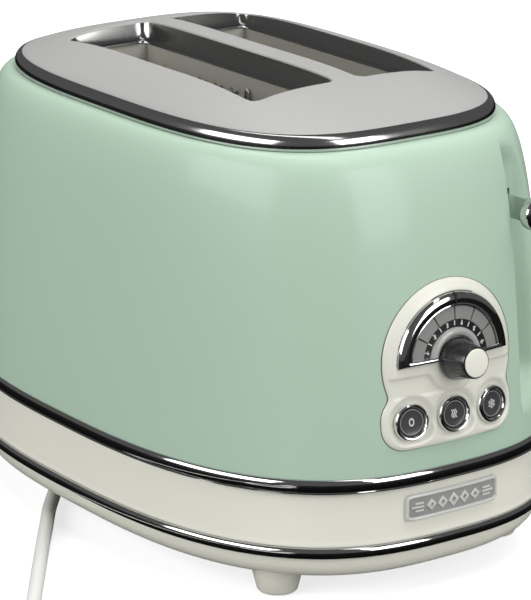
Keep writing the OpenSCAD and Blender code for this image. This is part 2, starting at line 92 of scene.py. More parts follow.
def add_camera():
    place, aim = Vector((1.1269, -0.7841, 0.5066)), Vector((-0.0022, 0.0057, 0.0865))
    roll = math.radians(-0.2)
    lens = bpy.data.cameras.new("camera")
    lens.lens = 204.2
    holder = bpy.data.objects.new("camera", lens)
    holder.location = place
    holder.rotation_mode = "QUATERNION"
    holder.rotation_quaternion = (aim - place).to_track_quat("-Z", "Y") @ Quaternion((0, 0, 1), roll)
    bpy.context.scene.collection.objects.link(holder)
    bpy.context.scene.camera = holder


add_camera()

# ---------------------------------------------------------------- shader language


class Value:
    """A shader socket that takes Python arithmetic, one Math node for each operation."""

    def __init__(self, look, socket):
        self.look, self.socket = look, socket

    def maths(self, operation, *values):
        return self.look.add("ShaderNodeMath", {"operation": operation}, dict(enumerate(values)))

    def __add__(self, other):
        return self.maths("ADD", self, other)

    def __mul__(self, other):
        return self.maths("MULTIPLY", self, other)

    def above(self, edge, soft):
        """0 below an edge and 1 above it, over a soft step."""
        clamp = {"clamp": True, "interpolation_type": "SMOOTHSTEP"}
        return self.look.add("ShaderNodeMapRange", clamp, {0: self, 1: edge - soft, 2: edge + soft})


class Look:
    def __init__(self, name):
        self.material = bpy.data.materials.new(name)
        self.material.use_nodes = True
        self.tree = self.material.node_tree
        self.tree.nodes.clear()
        self.place = self.add("ShaderNodeTexCoord", out="Object")

    def add(self, kind, settings=None, values=None, out=0):
        node = self.tree.nodes.new(kind)
        for key, setting in (settings or {}).items():
            setattr(node, key, setting)
        for key, value in (values or {}).items():
            if isinstance(value, Value):
                self.tree.links.new(value.socket, node.inputs[key])
            else:
                node.inputs[key].default_value = value
        return Value(self, node.outputs[out])

    def noise(self, scale, detail=3, stretch=(1, 1, 1)):
        """Noise in metres: scale is the number of features in a metre."""
        where = self.add("ShaderNodeMapping", {}, {"Vector": self.place, "Scale": stretch})
        return self.add("ShaderNodeTexNoise", {}, {"Vector": where, "Scale": scale, "Detail": detail})

    def blend(self, share, first, second):
        """A colour between two, by a share from 0 to 1."""
        mix = {"data_type": "RGBA"}
        return self.add("ShaderNodeMix", mix, {0: share, 6: colour(first), 7: colour(second)}, out=2)

    def bump(self, height, depth):
        return self.add("ShaderNodeBump", {}, {"Height": height, "Distance": depth})

    def finish(self, **sockets):
        values = {key.replace("_", " "): value for key, value in sockets.items()}
        values["Base Color"] = colour(values["Base Color"])
        shader = self.add("ShaderNodeBsdfPrincipled", {}, values)
        output = self.tree.nodes.new("ShaderNodeOutputMaterial")
        self.tree.links.new(shader.socket, output.inputs["Surface"])
        return self.material


def colour(value):
    return value if isinstance(value, Value) or len(value) == 4 else (*value, 1)


# ---------------------------------------------------------------- materials


def enamel():
    look = Look("mint_enamel")
    cloud = look.noise(9, 2)
    peel = look.noise(1400, 2)
    speck = look.noise(2600, 1).above(0.79, 0.03)
    tone = look.blend(cloud, (0.418, 0.560, 0.446), (0.440, 0.582, 0.466))
    return look.finish(
        Base_Color=look.blend(speck * 0.25, tone, (0.60, 0.70, 0.63)),
        Roughness=look.noise(60) * 0.06 + 0.36,
        Normal=look.bump(peel, 0.00002),
        Coat_Weight=0.22, Coat_Roughness=0.10, Specular_IOR_Level=0.4)


def cream(name="cream_plastic", tint=(0.83, 0.825, 0.735)):
    look = Look(name)
    cloud = look.noise(14, 3)
    grain = look.noise(2200, 2)
    darker = tuple(0.965 * c for c in tint)
    return look.finish(
        Base_Color=look.blend(cloud, darker, tint),
        Roughness=look.noise(90) * 0.1 + 0.27,
        Normal=look.bump(grain, 0.00002),
        Coat_Weight=0.25, Coat_Roughness=0.15)


def chrome(name="polished_chrome", tint=(0.72, 0.72, 0.725), rough=0.045):
    look = Look(name)
    haze = look.noise(160, 4)
    wipe = look.noise(700, 3, (1, 1, 0.15))
    return look.finish(
        Base_Color=look.blend(haze, tint, tuple(0.93 * c for c in tint)),
        Metallic=1.0,
        Roughness=haze * wipe * 0.10 + rough,
        Normal=look.bump(look.noise(420, 2), 0.000006))


def satin_steel():
    look = Look("satin_steel")
    brushed = look.noise(900, 4, (0.03, 1, 1))
    fine = look.noise(3500, 2, (0.02, 1, 1))
    cloud = look.noise(12, 2)
    return look.finish(
        Base_Color=look.blend(brushed * 0.6 + cloud * 0.4, (0.41, 0.41, 0.40), (0.465, 0.465, 0.455)),
        Metallic=0.30,
        Roughness=brushed * 0.08 + 0.52,
        Normal=look.bump(fine, 0.00001))


def sheet_steel(name="galvanised_sheet", low=(0.30, 0.295, 0.28), high=(0.46, 0.455, 0.43)):
    look = Look(name)
    cells = look.add("ShaderNodeTexVoronoi", {}, {"Vector": look.place, "Scale": 150})
    stain = look.noise(30, 4)
    return look.finish(
        Base_Color=look.blend(stain * 0.8 + cells * 0.35, low, high),
        Metallic=0.85,
        Roughness=stain * 0.2 + 0.34,
        Normal=look.bump(look.noise(260, 3), 0.00004))


def steel_wire():
    look = Look("steel_wire")
    return look.finish(
        Base_Color=look.blend(look.noise(90, 4), (0.42, 0.41, 0.39), (0.60, 0.59, 0.57)),
        Metallic=0.95, Roughness=look.noise(500) * 0.2 + 0.22,
        Normal=look.bump(look.noise(1800, 2), 0.00001))


def plastic(name, tint, rough=0.3, grain=0.00002, coat=0.2):
    look = Look(name)
    lighter = tuple(1.18 * c + 0.004 for c in tint)
    return look.finish(
        Base_Color=look.blend(look.noise(40, 3), tint, lighter),
        Roughness=look.noise(300) * 0.12 + rough,
        Normal=look.bump(look.noise(2600, 2), grain),
        Coat_Weight=coat, Coat_Roughness=0.1)


def mica():
    look = Look("mica")
    flakes = look.add("ShaderNodeTexVoronoi", {}, {"Vector": look.place, "Scale": 120})
    return look.finish(
        Base_Color=look.blend(flakes * 1.4, (0.30, 0.25, 0.16), (0.52, 0.46, 0.34)),
        Roughness=look.noise(200) * 0.3 + 0.35,
        Normal=look.bump(flakes, 0.00006))


def ribbon():
    look = Look("resistance_ribbon")
    return look.finish(
        Base_Color=look.blend(look.noise(60, 4), (0.12, 0.10, 0.09), (0.28, 0.25, 0.23)),
        Metallic=0.8, Roughness=look.noise(300) * 0.2 + 0.45,
        Normal=look.bump(look.noise(900), 0.00002))


def circuit_board():
    look = Look("circuit_board")
    tracks = look.add("ShaderNodeTexBrick", {"offset": 0.5}, {
        "Vector": look.place, "Scale": 140, "Mortar Size": 0.03}, out=1)
    return look.finish(
        Base_Color=look.blend(tracks, (0.03, 0.16, 0.05), (0.10, 0.32, 0.12)),
        Roughness=tracks * 0.1 + 0.3,
        Normal=look.bump(tracks, 0.00003))


def copper():
    look = Look("copper_coil")
    turns = look.add("ShaderNodeTexWave", {"bands_direction": "Z"}, {"Vector": look.place, "Scale": 320})
    return look.finish(
        Base_Color=look.blend(turns, (0.24, 0.07, 0.03), (0.62, 0.27, 0.12)),
        Metallic=0.9, Roughness=turns * 0.1 + 0.25,
        Normal=look.bump(turns, 0.0001))


LOOKS = {
    "mint_enamel": enamel(),
    "cream_plastic": cream(),
    "cream_panel": cream("cream_panel", (0.76, 0.755, 0.675)),
    "polished_chrome": chrome(),
    "rim_chrome": chrome("rim_chrome", (0.66, 0.66, 0.655), 0.13),
    "satin_steel": satin_steel(),
    "black_plastic": plastic("black_plastic", (0.012, 0.012, 0.013), 0.2, 0.00001, 0.6),
    "grey_plastic": plastic("grey_plastic", (0.050, 0.051, 0.054), 0.26, 0.00001, 0.4),
    "galvanised_sheet": sheet_steel(),
    "steel_wire": steel_wire(),
    "magnet_iron": sheet_steel("magnet_iron", (0.12, 0.12, 0.125), (0.22, 0.22, 0.225)),
    "copper_coil": copper(),
    "mica": mica(),
    "resistance_ribbon": ribbon(),
    "circuit_board": circuit_board(),
    "rubber_foot": plastic("rubber_foot", (0.030, 0.030, 0.031), 0.7, 0.00006, 0.0),
    "white_cord": plastic("white_cord", (0.72, 0.72, 0.70), 0.34, 0.00003, 0.0),
    "plug_brass": sheet_steel("plug_brass", (0.55, 0.44, 0.20), (0.72, 0.60, 0.32)),
    # painted shade: a dark greenish grey that stands in for the shade in the gap round the panel
    "seam_grey": plastic("seam_grey", (0.075, 0.09, 0.078), 0.5, 0.00001, 0.1),
    "dial_black": plastic("dial_black", (0.010, 0.010, 0.011), 0.35, 0.00001, 0.3),
    "dial_silver": plastic("dial_silver", (0.24, 0.24, 0.232), 0.30, 0.00001, 0.4),
    "dial_ring": plastic("dial_ring", (0.36, 0.36, 0.35), 0.2, 0.00001, 0.7),
    "bright_chrome": chrome("bright_chrome", (0.86, 0.86, 0.86), 0.13),
    "funnel_chrome": chrome("funnel_chrome", (0.42, 0.42, 0.41), 0.15),
    "chute_steel": plastic("chute_steel", (0.36, 0.35, 0.305), 0.42, 0.00004, 0.1),
    "badge_field": plastic("badge_field", (0.30, 0.30, 0.295), 0.4, 0.00002, 0.2),
    "badge_rim": plastic("badge_rim", (0.60, 0.60, 0.58), 0.25, 0.00001, 0.6),
    "mark_white": plastic("mark_white", (0.62, 0.62, 0.60), 0.4, 0.00001, 0.0),
}

# ---------------------------------------------------------------- mesh language


def as_points(rows):
    return np.concatenate([np.asarray(r, float).reshape(-1, 3) for r in rows])


def moved(points, matrix):
    points = np.asarray(points, float)
    turn, shift = np.array(matrix.to_3x3()), np.array(matrix.translation)
    return points @ turn.T + shift


def placed(shape, matrix):
    return moved(shape[0], matrix), shape[1]


def weave(rows, around=True, along=False):
    """Quads between rows of equally many points.

    around closes each row, and along joins the last row to the first.
    """
    count, wide = len(rows), len(rows[0])
    faces = []
    for j in range(count if along else count - 1):
        a, b = j * wide, (j + 1) % count * wide
        for i in range(wide if around else wide - 1):
            k = (i + 1) % wide
            faces.append((a + i, a + k, b + k, b + i))
    return as_points(rows), faces


def capped(rows):
    """A skin of closed rows with a flat face on each end."""
    points, faces = weave(rows)
    wide = len(rows[0])
    last = len(points) - wide
    return points, faces + [tuple(range(wide))[::-1], tuple(range(last, last + wide))]


def turned(profile, steps=96, ring=False):
    """A solid turned about Z from (radius, height) pairs, open in the middle if it is a ring."""
    turns = np.linspace(0, 2 * math.pi, steps, endpoint=False)
    rows = [np.stack([r * np.cos(turns), r * np.sin(turns), np.full(steps, z)], 1) for r, z in profile]
    return weave(rows, along=True) if ring else capped(rows)


def joined(*solids):
    points, faces, start = [], [], 0
    for p, f in solids:
        points.append(p)
        faces += [tuple(i + start for i in face) for face in f]
        start += len(p)
    return np.concatenate(points), faces


def tidy(mesh, sharp=35):
    """Merges doubles, turns faces outwards and shades smoothly between sharp edges."""
    work = bmesh.new()
    work.from_mesh(mesh)
    bmesh.ops.remove_doubles(work, verts=work.verts, dist=0.000002)
    bmesh.ops.dissolve_degenerate(work, edges=work.edges, dist=0.000001)
    bmesh.ops.recalc_face_normals(work, faces=work.faces)
    work.to_mesh(mesh)
    work.free()
    mesh.shade_smooth()
    mesh.set_sharp_from_angle(angle=math.radians(sharp))


def bare(name, points, faces, look=None, sharp=35):
    """An object made from points in millimetres from the body's middle, before it is declared."""
    mesh = bpy.data.meshes.new(name)
    mesh.from_pydata(((np.asarray(points) - MIDDLE) * MM).tolist(), [], faces)
    tidy(mesh, sharp)
    thing = bpy.data.objects.new(name, mesh)
    if look:
        mesh.materials.append(LOOKS[look])
    bpy.context.scene.collection.objects.link(thing)
    return thing


def declare(thing, body, stands_for=()):
    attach(thing, body)
    if stands_for:
        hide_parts(*stands_for)
    return thing


def solid(name, shape, look, stands_for=(), body="housing", sharp=35):
    return declare(bare(name, *shape, look, sharp), body, stands_for)


def applied(thing, modifiers, sharp=35):
    """The thing with its modifiers turned into mesh."""
    for kind, settings in modifiers:
        modifier = thing.modifiers.new(kind.lower(), kind)
        for key, setting in settings.items():
            setattr(modifier, key, setting)
    bpy.context.view_layer.update()
    done = bpy.data.meshes.new_from_object(thing.evaluated_get(bpy.context.evaluated_depsgraph_get()))
    old = thing.data
    thing.modifiers.clear()
    thing.data = done
    done.name = thing.name
    bpy.data.meshes.remove(old)
    done.shade_smooth()
    done.set_sharp_from_angle(angle=math.radians(sharp))
    return thing


def cut(thing, cutters, sharp=35):
    """Subtracts closed cutters, which are then removed."""
    applied(thing, [("BOOLEAN", {"operation": "DIFFERENCE", "solver": "EXACT", "object": c}) for c in cutters], sharp)
    for c in cutters:
        bpy.data.objects.remove(c)
    return thing


def block(low, high):
    x0, y0, z0 = low
    x1, y1, z1 = high
    lower = [(x0, y0, z0), (x1, y0, z0), (x1, y1, z0), (x0, y1, z0)]
    upper = [(x, y, z1) for x, y, _ in lower]
    return capped([lower, upper])


# ---------------------------------------------------------------- outlines

ROUND = np.linspace(0, 2 * math.pi, 288, endpoint=False)


def on_outline(half, n, turns):
    c, s = np.abs(np.cos(turns)) / half[0], np.abs(np.sin(turns)) / half[1]
    r = (c**n + s**n) ** (-1 / n)
    return np.stack([r * np.cos(turns), r * np.sin(turns)], 1)


def ring(half, n, z, turns=ROUND):
    flat = on_outline(half, n, turns)
    return np.column_stack([flat, np.full(len(flat), z)])


def band(half, n, profile):
    """A closed band round the body from (outset, level) pairs that run round its section."""
    return weave([ring(np.add(half, out), n, z) for out, z in profile], along=True)


def mix(a, b, t):
    return a + (b - a) * t


def soft_min(a, b, blend):
    h = np.clip(0.5 + 0.5 * (b - a) / blend, 0, 1)
    return mix(b, a, h) - blend * h * (1 - h)


def step(low, high, value):
    t = np.clip((value - low) / (high - low), 0, 1)
    return t * t * (3 - 2 * t)


def shell_section(z):
    """Half sizes and squareness of the shell at a level."""
    t = (max(shell_top - z, 0) / (shell_top - shell_z)) ** SHOULDER_POWER
    return mix(shoulder_half, foot_half, t), mix(SHOULDER_N, FOOT_N, t)


def dome_level(x, y):
    share = (np.abs(x / plate_half[0]) ** PLATE_N + np.abs(y / plate_half[1]) ** PLATE_N) ** (1 / PLATE_N)
    return plate_z + (dome_top - plate_z) * soft_min(1 - np.minimum(share, 1) ** 3, 0.84, 0.2)


def rounded_box(x, y, half_x, half_y, corner):
    """Distance outside a rounded rectangle, negative inside it."""
    qx, qy = np.abs(x) - half_x + corner, np.abs(y) - half_y + corner
    return np.hypot(np.maximum(qx, 0), np.maximum(qy, 0)) + np.minimum(np.maximum(qx, qy), 0) - corner


def reach_of(distance, turns, centre=(0, 0), far=200.0):
    """How far rays from a centre go before a distance field turns positive."""
    low, high = np.zeros(len(turns)), np.full(len(turns), far)
    for _ in range(40):
        middle = (low + high) / 2
        outside = distance(centre[0] + middle * np.cos(turns), centre[1] + middle * np.sin(turns)) > 0
        low, high = np.where(outside, low, middle), np.where(outside, middle, high)
    return low


# ---------------------------------------------------------------- body shell

CHANNEL_X, CHANNEL_Y, CHANNEL_Z = 114, (38.1, 64), (70, 175)
SIDE_Y = 67  # the shell's end is sampled by Y up to here, and by angle beyond
SLIT_GAP, LEVER_TRAVEL = 0.7, 60


def channel_share(y, z):
    """How far the pressed lever channel has taken the wall in, from 0 to 1."""
    across = step(CHANNEL_Y[0], CHANNEL_Y[0] + 1.9, y) * (1 - step(48.5, CHANNEL_Y[1], y))
    upright = step(CHANNEL_Z[0] - 4, CHANNEL_Z[0] + 12, z) * (1 - step(CHANNEL_Z[1] - 12, CHANNEL_Z[1] + 1, z))
    return across * upright


def lever_slit_sides():
    return lever_low[1] - SLIT_GAP, lever_high[1] + SLIT_GAP


def shell_ring(z):
    half, n = shell_section(z)
    slit = lever_slit_sides()
    ys = np.concatenate([
        np.linspace(-SIDE_Y, 36, 50), np.linspace(36.8, slit[0], 22), [lever_low[1] + 1.4],
        np.linspace(slit[1], 64.5, 30), [SIDE_Y]])
    xs = half[0] * (1 - (np.abs(ys) / half[1]) ** n) ** (1 / n)
    start = math.atan2(ys[-1], xs[-1])
    turns = np.linspace(start, 2 * math.pi - start, 240)[1:-1]
    depth = np.maximum(xs - CHANNEL_X, 0) * channel_share(ys, z)
    end = np.column_stack([xs - depth, ys, np.full(len(ys), z)])
    return np.concatenate([end, ring(half, n, z, turns)])


def make_shell():
    slit = (*lever_slit_sides(), lever_low[2] - LEVER_TRAVEL - 1.5, lever_high[2] + 1.5)
    levels = np.concatenate([
        [shell_z, shell_z + 0.4], np.arange(shell_z + 2, slit[2] - 1, 2.0), [slit[2]],
        np.arange(slit[2] + 2, slit[3] - 1, 2.0), [slit[3]], np.arange(slit[3] + 2, shell_top - 8, 1.6),
        shell_top - 8 * np.linspace(1, 0, 14) ** 2])
    rows = [shell_ring(z) for z in levels]
    points, faces = weave(rows)
    middles = np.array([points[list(f)].mean(0) for f in faces])
    x, y, z = middles.T
    in_slit = (x > 110) & (y > slit[0]) & (y < slit[1]) & (z > slit[2]) & (z < slit[3])
    flat = (moved(middles, panel_frame.inverted()))
    under_panel = (x > 100) & (panel_distance(flat[:, 0], flat[:, 1]) < -2.5)
    faces = [f for f, gone in zip(faces, in_slit | under_panel) if not gone]
    shell = bare("enamelled_body", points, faces, "mint_enamel", 60)
    applied(shell, [("SOLIDIFY", {"thickness": 1.0 * MM, "offset": -1})], 60)
    return declare(shell, "housing", ["body_shell"])


# ---------------------------------------------------------------- top


def slot_reach(turns, inset=0.0):
    corner = SLOT_CORNER - 0.35 * inset
    return reach_of(lambda x, y: rounded_box(x, y, SLOT_HALF[0] - inset, SLOT_HALF[1] - 0.78 * inset, corner), turns)


def half_turns():
    corner = math.atan2(SLOT_Y, plate_half[0])
    return np.sort(np.concatenate([np.linspace(0, 2 * math.pi, 260, endpoint=False),
                                   [2 * math.pi - corner, math.pi + corner]]))


def plate_half_mesh(side):
    """Half of the domed plate, between its slot and the edge or the middle line."""
    turns = half_turns()
    edge = reach_of(lambda x, y: (np.abs(x / plate_half[0]) ** PLATE_N + np.abs(y / plate_half[1]) ** PLATE_N) - 1,
                    turns, (0, SLOT_Y))
    down = np.where(np.sin(turns) < -1e-9, SLOT_Y / np.maximum(-np.sin(turns), 1e-9), 1e9)
    outer, at_edge = np.minimum(edge, down), edge <= down + 1e-6
    inner = slot_reach(turns)
    roll, rows = 0.9, []
    steps = np.concatenate([[0, 0.25, 0.55, 0.9, 1.5], np.linspace(2.6, 100, 22)])
    steps = steps / steps[-1]
    shares = np.concatenate([steps[:-1], 1 - np.array([0.012, 0.006, 0.0])])
    shares = np.unique(np.sort(shares))
    for share in shares:
        far = inner + (outer - inner) * share
        x, y = far * np.cos(turns), SLOT_Y + far * np.sin(turns)
        z = dome_level(x, y)
        near = np.clip(roll - (far - inner), 0, roll)
        z = z - (roll - np.sqrt(roll**2 - near**2))
        last = np.where(at_edge, np.clip(roll - (outer - far), 0, roll), 0)
        z = z - 0.7 * (roll - np.sqrt(roll**2 - last**2))
        rows.append(np.column_stack([x, side * y, z]))
    return weave(rows)


def make_plate():
    plate = bare("domed_plate", *joined(plate_half_mesh(1), plate_half_mesh(-1)), "satin_steel", 50)
    applied(plate, [("SOLIDIFY", {"thickness": 0.8 * MM, "offset": -1})], 50)
    return declare(plate, "housing", ["top_plate"])


# How far in from the slot's edge, and the share of the way down to the throat
LINER_PROFILE = [
    (0.0, 0.0), (0.08, 0.05), (0.25, 0.14), (0.7, 0.36), (1.5, 0.66), (2.2, 0.86),
    (2.6, 0.94), (2.9, 0.98), (3.3, 1.0), (4.8, 1.0), (5.0, 1.02), (5.0, 1.1)]


def make_liner(name, side, node):
    """A polished funnel from the plate's slot down to the sleeve."""
    turns = np.linspace(0, 2 * math.pi, 320, endpoint=False)
    throat = plate_z + 2.4
    rows = []
    for inset, share in LINER_PROFILE:
        far = slot_reach(turns, inset)
        x, y = far * np.cos(turns), SLOT_Y + far * np.sin(turns)
        rows.append(np.column_stack([x, side * y, mix(dome_level(x, y) - 0.75, throat, share)]))
    liner = bare(name, *weave(rows), "funnel_chrome", 50)
    applied(liner, [("SOLIDIFY", {"thickness": 0.5 * MM, "offset": 1})], 50)
    return declare(liner, "housing", [node])


def box_row(half_x, half_y, corner, z, centre_y, count=96):
    turns = np.linspace(0, 2 * math.pi, count, endpoint=False)
    far = reach_of(lambda x, y: rounded_box(x, y, half_x, half_y, corner), turns)
    return np.column_stack([far * np.cos(turns), centre_y + far * np.sin(turns), np.full(count, z)])


def make_sleeves():
    low, high = sleeve_low[2], plate_z + 1.6
    shapes = []
    for side in (-1, 1):
        section = [(64.4, 16.7, low), (65.2, 17.5, low), (65.2, 17.5, high), (64.7, 17.0, high),
                   (64.4, 16.7, high - 0.5)]
        shapes.append(weave([box_row(a, b, 2.2, z, side * SLOT_Y) for a, b, z in section], along=True))
    solid("chute_walls", joined(*shapes), "chute_steel", ["slot_sleeves"])


# Share of the way in from shoulder to plate, bulge, and rise above the shell
RIM_PROFILE = [
    (0, -1.2, 0.0), (0, -0.1, 0.0), (0, 0.3, 0.3), (0, 0.65, 0.9), (0, 0.85, 1.7), (0.02, 0.9, 2.6),
    (0.08, 0.9, 3.5), (0.2, 0.85, 4.4), (0.37, 0.8, 5.15), (0.58, 0.6, 5.75), (0.8, 0.35, 6.15),
    (1, 0.0, 6.35), (1.1, -0.25, 6.3), (1.1, -1.2, 5.4)]
RIM_BULGE = 0.42


def make_rim():
    rows = []
    for share, out, rise in RIM_PROFILE:
        half, n = mix(shoulder_half, plate_half, share), mix(SHOULDER_N, PLATE_N, share)
        rows.append(ring(half + out * RIM_BULGE, n, shell_top + rise))
    solid("top_rim_ring", weave(rows, along=True), "rim_chrome", ["top_rim"], sharp=60)


# ---------------------------------------------------------------- base

UPPER_TRIM = [(-2.8, 0.2), (-2.8, 5.8), (-0.1, 6.0), (0.5, 5.9), (1.0, 5.4), (1.35, 4.5), (1.5, 3.5), (1.42, 2.5),
              (1.1, 1.6), (0.75, 1.1), (0.72, 0.85), (1.0, 0.55), (0.95, 0.2), (0.6, 0.02)]
LOWER_TRIM = [(-1.9, 0.1), (-1.9, 4.7), (0.2, 4.8), (0.8, 4.65), (1.35, 4.1), (1.68, 3.2), (1.7, 2.2), (1.4, 1.2),
              (0.9, 0.5), (0.3, 0.05)]


def make_trims():
    upper = [(out, skirt_top + z) for out, z in UPPER_TRIM]
    solid("upper_trim_bead", band(foot_half, FOOT_N, upper), "polished_chrome", ["upper_trim"], sharp=50)
    lower = [(out, pan_top + z) for out, z in LOWER_TRIM]
    solid("lower_trim_bead", band(foot_half - (1.6, 0.4), FOOT_N, lower), "polished_chrome", ["lower_trim"], sharp=50)


def make_skirt():
    tray_low, tray_high = node_box("crumb_tray_front")
    wall, lip = 2.4, 0.35
    section = [(-wall, skirt_z + 0.05), (-wall, skirt_top - 0.05), (-0.5, skirt_top - 0.05), (-0.3, skirt_top - 0.3),
               (-0.1, skirt_top - 1.5), (0, skirt_top - 5), (0, skirt_z + 3), (lip - 0.2, skirt_z + 1.6),
               (lip, skirt_z + 0.9), (lip - 0.1, skirt_z + 0.3), (0, skirt_z + 0.05)]
    skirt = bare("cream_skirt", *band(skirt_half - lip, FOOT_N, section), "cream_plastic")
    mouth = block((-skirt_half[0] - 5, tray_low[1] - 0.3, 27.7), (-90, tray_high[1] + 0.3, 36.3))
    cut(skirt, [bare("mouth", *mouth)])
    return declare(skirt, "housing", ["base_skirt"])


def at_corners(profile, x, y, steps):
    """A turned solid at each of four corners."""
    points, faces = turned(profile, steps)
    return [(points + (a, b, 0), faces) for a in (-x, x) for b in (-y, y)]


def make_pan():
    half = foot_half - (2.5, 1.2)
    low, high = pan_low[2], pan_top
    outside = [(0, high), (-0.35, high - 2), (-0.9, high - 4), (-1.9, high - 6), (-3.6, high - 8),
               (-5.6, low + 0.6), (-8, low)]
    inside = [(-10, low + 2), (-7, low + 2.6), (-4.5, low + 4.5), (-2.9, high - 3), (-2.2, high)]
    rows = [ring(half + out, FOOT_N, z) for out, z in outside]
    rows += [ring(half * 0.4, FOOT_N, low), ring(half * 0.02, FOOT_N, low)]
    rows += [ring(half * 0.02, FOOT_N, low + 2), ring(half * 0.4, FOOT_N, low + 2)]
    rows += [ring(half + out, FOOT_N, z) for out, z in inside]
    pan = bare("curved_pan", *weave(rows, along=True), "cream_plastic")
    window = block((-8, -9, -2), (46, 9, 12))  # the cord's way out
    turn = Matrix.Translation((-112, -14, low - 1)) @ Matrix.Rotation(math.radians(-40.4), 4, "Z")
    cutters = [bare("window", *placed(window, turn))]
    cutters += [bare("screw_hole", *hole) for hole in at_corners([(1.9, low - 2), (1.9, low + 4)], 80, 64, 32)]
    cut(pan, cutters)
    declare(pan, "housing", ["base_pan"])
    solid("pan_posts", joined(*at_corners([(4.5, low + 1.9), (4.5, 36)], 80, 64, 40)), "cream_plastic")


def make_feet():
    foot = [(0.01, 0.6), (6.9, 0.6), (7.6, 0.75), (8.1, 1.3), (8.4, 2.2), (9.6, 7.0), (10.5, 10.4), (11.0, 11.3),
            (11.0, 11.7)]
    pad = [(0.01, 0), (5.3, 0), (5.75, 0.3), (5.9, 0.65), (0.01, 0.65)]
    for name, shape, look, node in (("tapered_feet", foot, "cream_plastic", "feet"),
                                    ("rubber_pads", pad, "rubber_foot", "foot_pads")):
        solid(name, joined(*at_corners(shape, 99, 55.5, 64)), look, [node])


def skirt_point(y, z, out, end=1):
    """A place on the skirt's end, moved out along its normal."""
    half = skirt_half
    t = np.clip(1 - (np.abs(y) / half[1]) ** FOOT_N, 0, 1) ** (1 / FOOT_N)
    x = half[0] * t
    nx = x ** (FOOT_N - 1) / half[0] ** FOOT_N
    ny = np.sign(y) * np.abs(y) ** (FOOT_N - 1) / half[1] ** FOOT_N
    size = np.hypot(nx, ny)
    return np.column_stack([end * (x + out * nx / size), y + out * ny / size, z])


def make_tray_front():
    low, high = 28.0, 36.0
    section = [(-2.4, low), (-2.4, high), (-0.5, high), (0, high - 0.5), (0, low + 0.5), (-0.5, low)]
    lip = [(-0.3, 31.6), (1.6, 31.7), (2.3, 32.0), (2.5, 32.5), (2.3, 33.0), (1.6, 33.3), (-0.3, 33.4)]

    def rear_row(shape, y, grow=1):
        out, z = np.array(shape).T
        return skirt_point(np.full(len(shape), y), z, out * grow, -1)

    rows = [rear_row(section, y) for y in np.linspace(-57.7, 57.7, 120)]
    lip_rows = [rear_row(lip, y, min(1, (20.6 - abs(y)) / 3 + 0.2)) for y in np.linspace(-20, 20, 50)]
    arms = [block((-131.2, y - 5, 29), (-121, y + 5, 33)) for y in (-40, 40)]
    solid("tray_front", joined(capped(rows), capped(lip_rows), *arms), "cream_plastic", ["crumb_tray_front"], "tray")


def make_badge():
    """A raised frame with a plain field and a row of lozenges."""
    centre_z, half_y, half_z, corner = 39.5, 22.6, 5.3, 1.9
    turns = np.linspace(0, 2 * math.pi, 128, endpoint=False)

    def loop(inset, out):
        round_by = max(corner - inset, 0.5)
        far = reach_of(lambda y, z: rounded_box(y, z, half_y - inset, half_z - inset, round_by), turns)
        y, z = far * np.cos(turns), centre_z + far * np.sin(turns)
        return skirt_point(y, z, np.full(len(y), out))

    frame_rows = [loop(*at) for at in (
        (0, -0.6), (0, 0.8), (0.2, 1.2), (0.6, 1.4), (1.1, 1.25), (1.3, 0.7), (1.3, -0.6))]
    solid("badge_frame", weave(frame_rows, along=True), "badge_rim", ["badge_plate"])
    field_rows = [loop(*at) for at in ((1.2, -0.5), (1.2, 0.6), (2.2, 0.65), (4.6, 0.68))]
    solid("badge_field_plate", capped(field_rows), "badge_field")
    marks, pitch = [], 5.4
    for k in range(-2, 3):
        wide, tall = 2.6 - 0.15 * abs(k), 3.0 - 0.3 * abs(k)
        ring_y = np.array([wide, 0, -wide, 0]) + pitch * k
        ring_z = np.array([0, tall, 0, -tall]) + centre_z
        rows = []
        for share, out in ((1, 0.6), (1, 1.0), (0.82, 1.15), (0.45, 1.15), (0.4, 0.7), (0.4, 0.6)):
            y, z = pitch * k + share * (ring_y - pitch * k), centre_z + share * (ring_z - centre_z)
            rows.append(skirt_point(y, z, np.full(4, out)))
        marks.append(capped(rows))
    for side in (-1, 1):
        for rise in (-1.5, 0, 1.5):
            bar_y = np.array([14.6, 20.0 - abs(rise), 20.0 - abs(rise), 14.6]) * side
            bar_z = np.array([-0.38, -0.38, 0.38, 0.38]) + centre_z + rise
            marks.append(capped([skirt_point(bar_y, bar_z, np.full(4, out)) for out in (0.6, 1.1)]))
    solid("badge_lozenges", joined(*marks), "badge_rim")


# ---------------------------------------------------------------- control panel

PANEL_R, PANEL_TOP, BUTTON_V, BUTTON_PITCH = 140.0, 2.2, -22.6, 20.0
GAUGE_R = 26.5
LOW_FIELD, GAUGE_LIFT, BUTTON_SINK = -0.45, 1.7, -1.6


def panel_axes():
    turn = joint("browning_turn")
    out = Vector(turn["axis"]).normalized()
    across = Vector((0, 1, 0))
    up = out.cross(across)
    place = Matrix((across, up, out)).transposed().to_4x4()
    place.translation = Vector(np.array(turn["pos_m"]) / MM + MIDDLE)
    return place


panel_frame = panel_axes()


def curve_level(u):
    return PANEL_TOP - PANEL_R + np.sqrt(PANEL_R**2 - np.square(u))


def on_panel(u, v, h):
    """Points on the panel's curve, raised by h, in the part's frame."""
    u, v, h = np.broadcast_arrays(np.asarray(u, float), v, h)
    return moved(np.column_stack([u, v, curve_level(u) + h]), panel_frame)


def upright_on_panel(u, v):
    """A frame whose Z is the panel's normal at a place."""
    lean = math.asin(u / PANEL_R)
    return (panel_frame @ Matrix.Translation((0, v, PANEL_TOP - PANEL_R)) @ Matrix.Rotation(lean, 4, "Y")
            @ Matrix.Translation((0, 0, PANEL_R)))


def panel_distance(u, v):
    return soft_min(np.hypot(u, v) - 31.5, rounded_box(u + 1.2, v + 22.2, 31.7, 11.4, 10.0), 3.0)


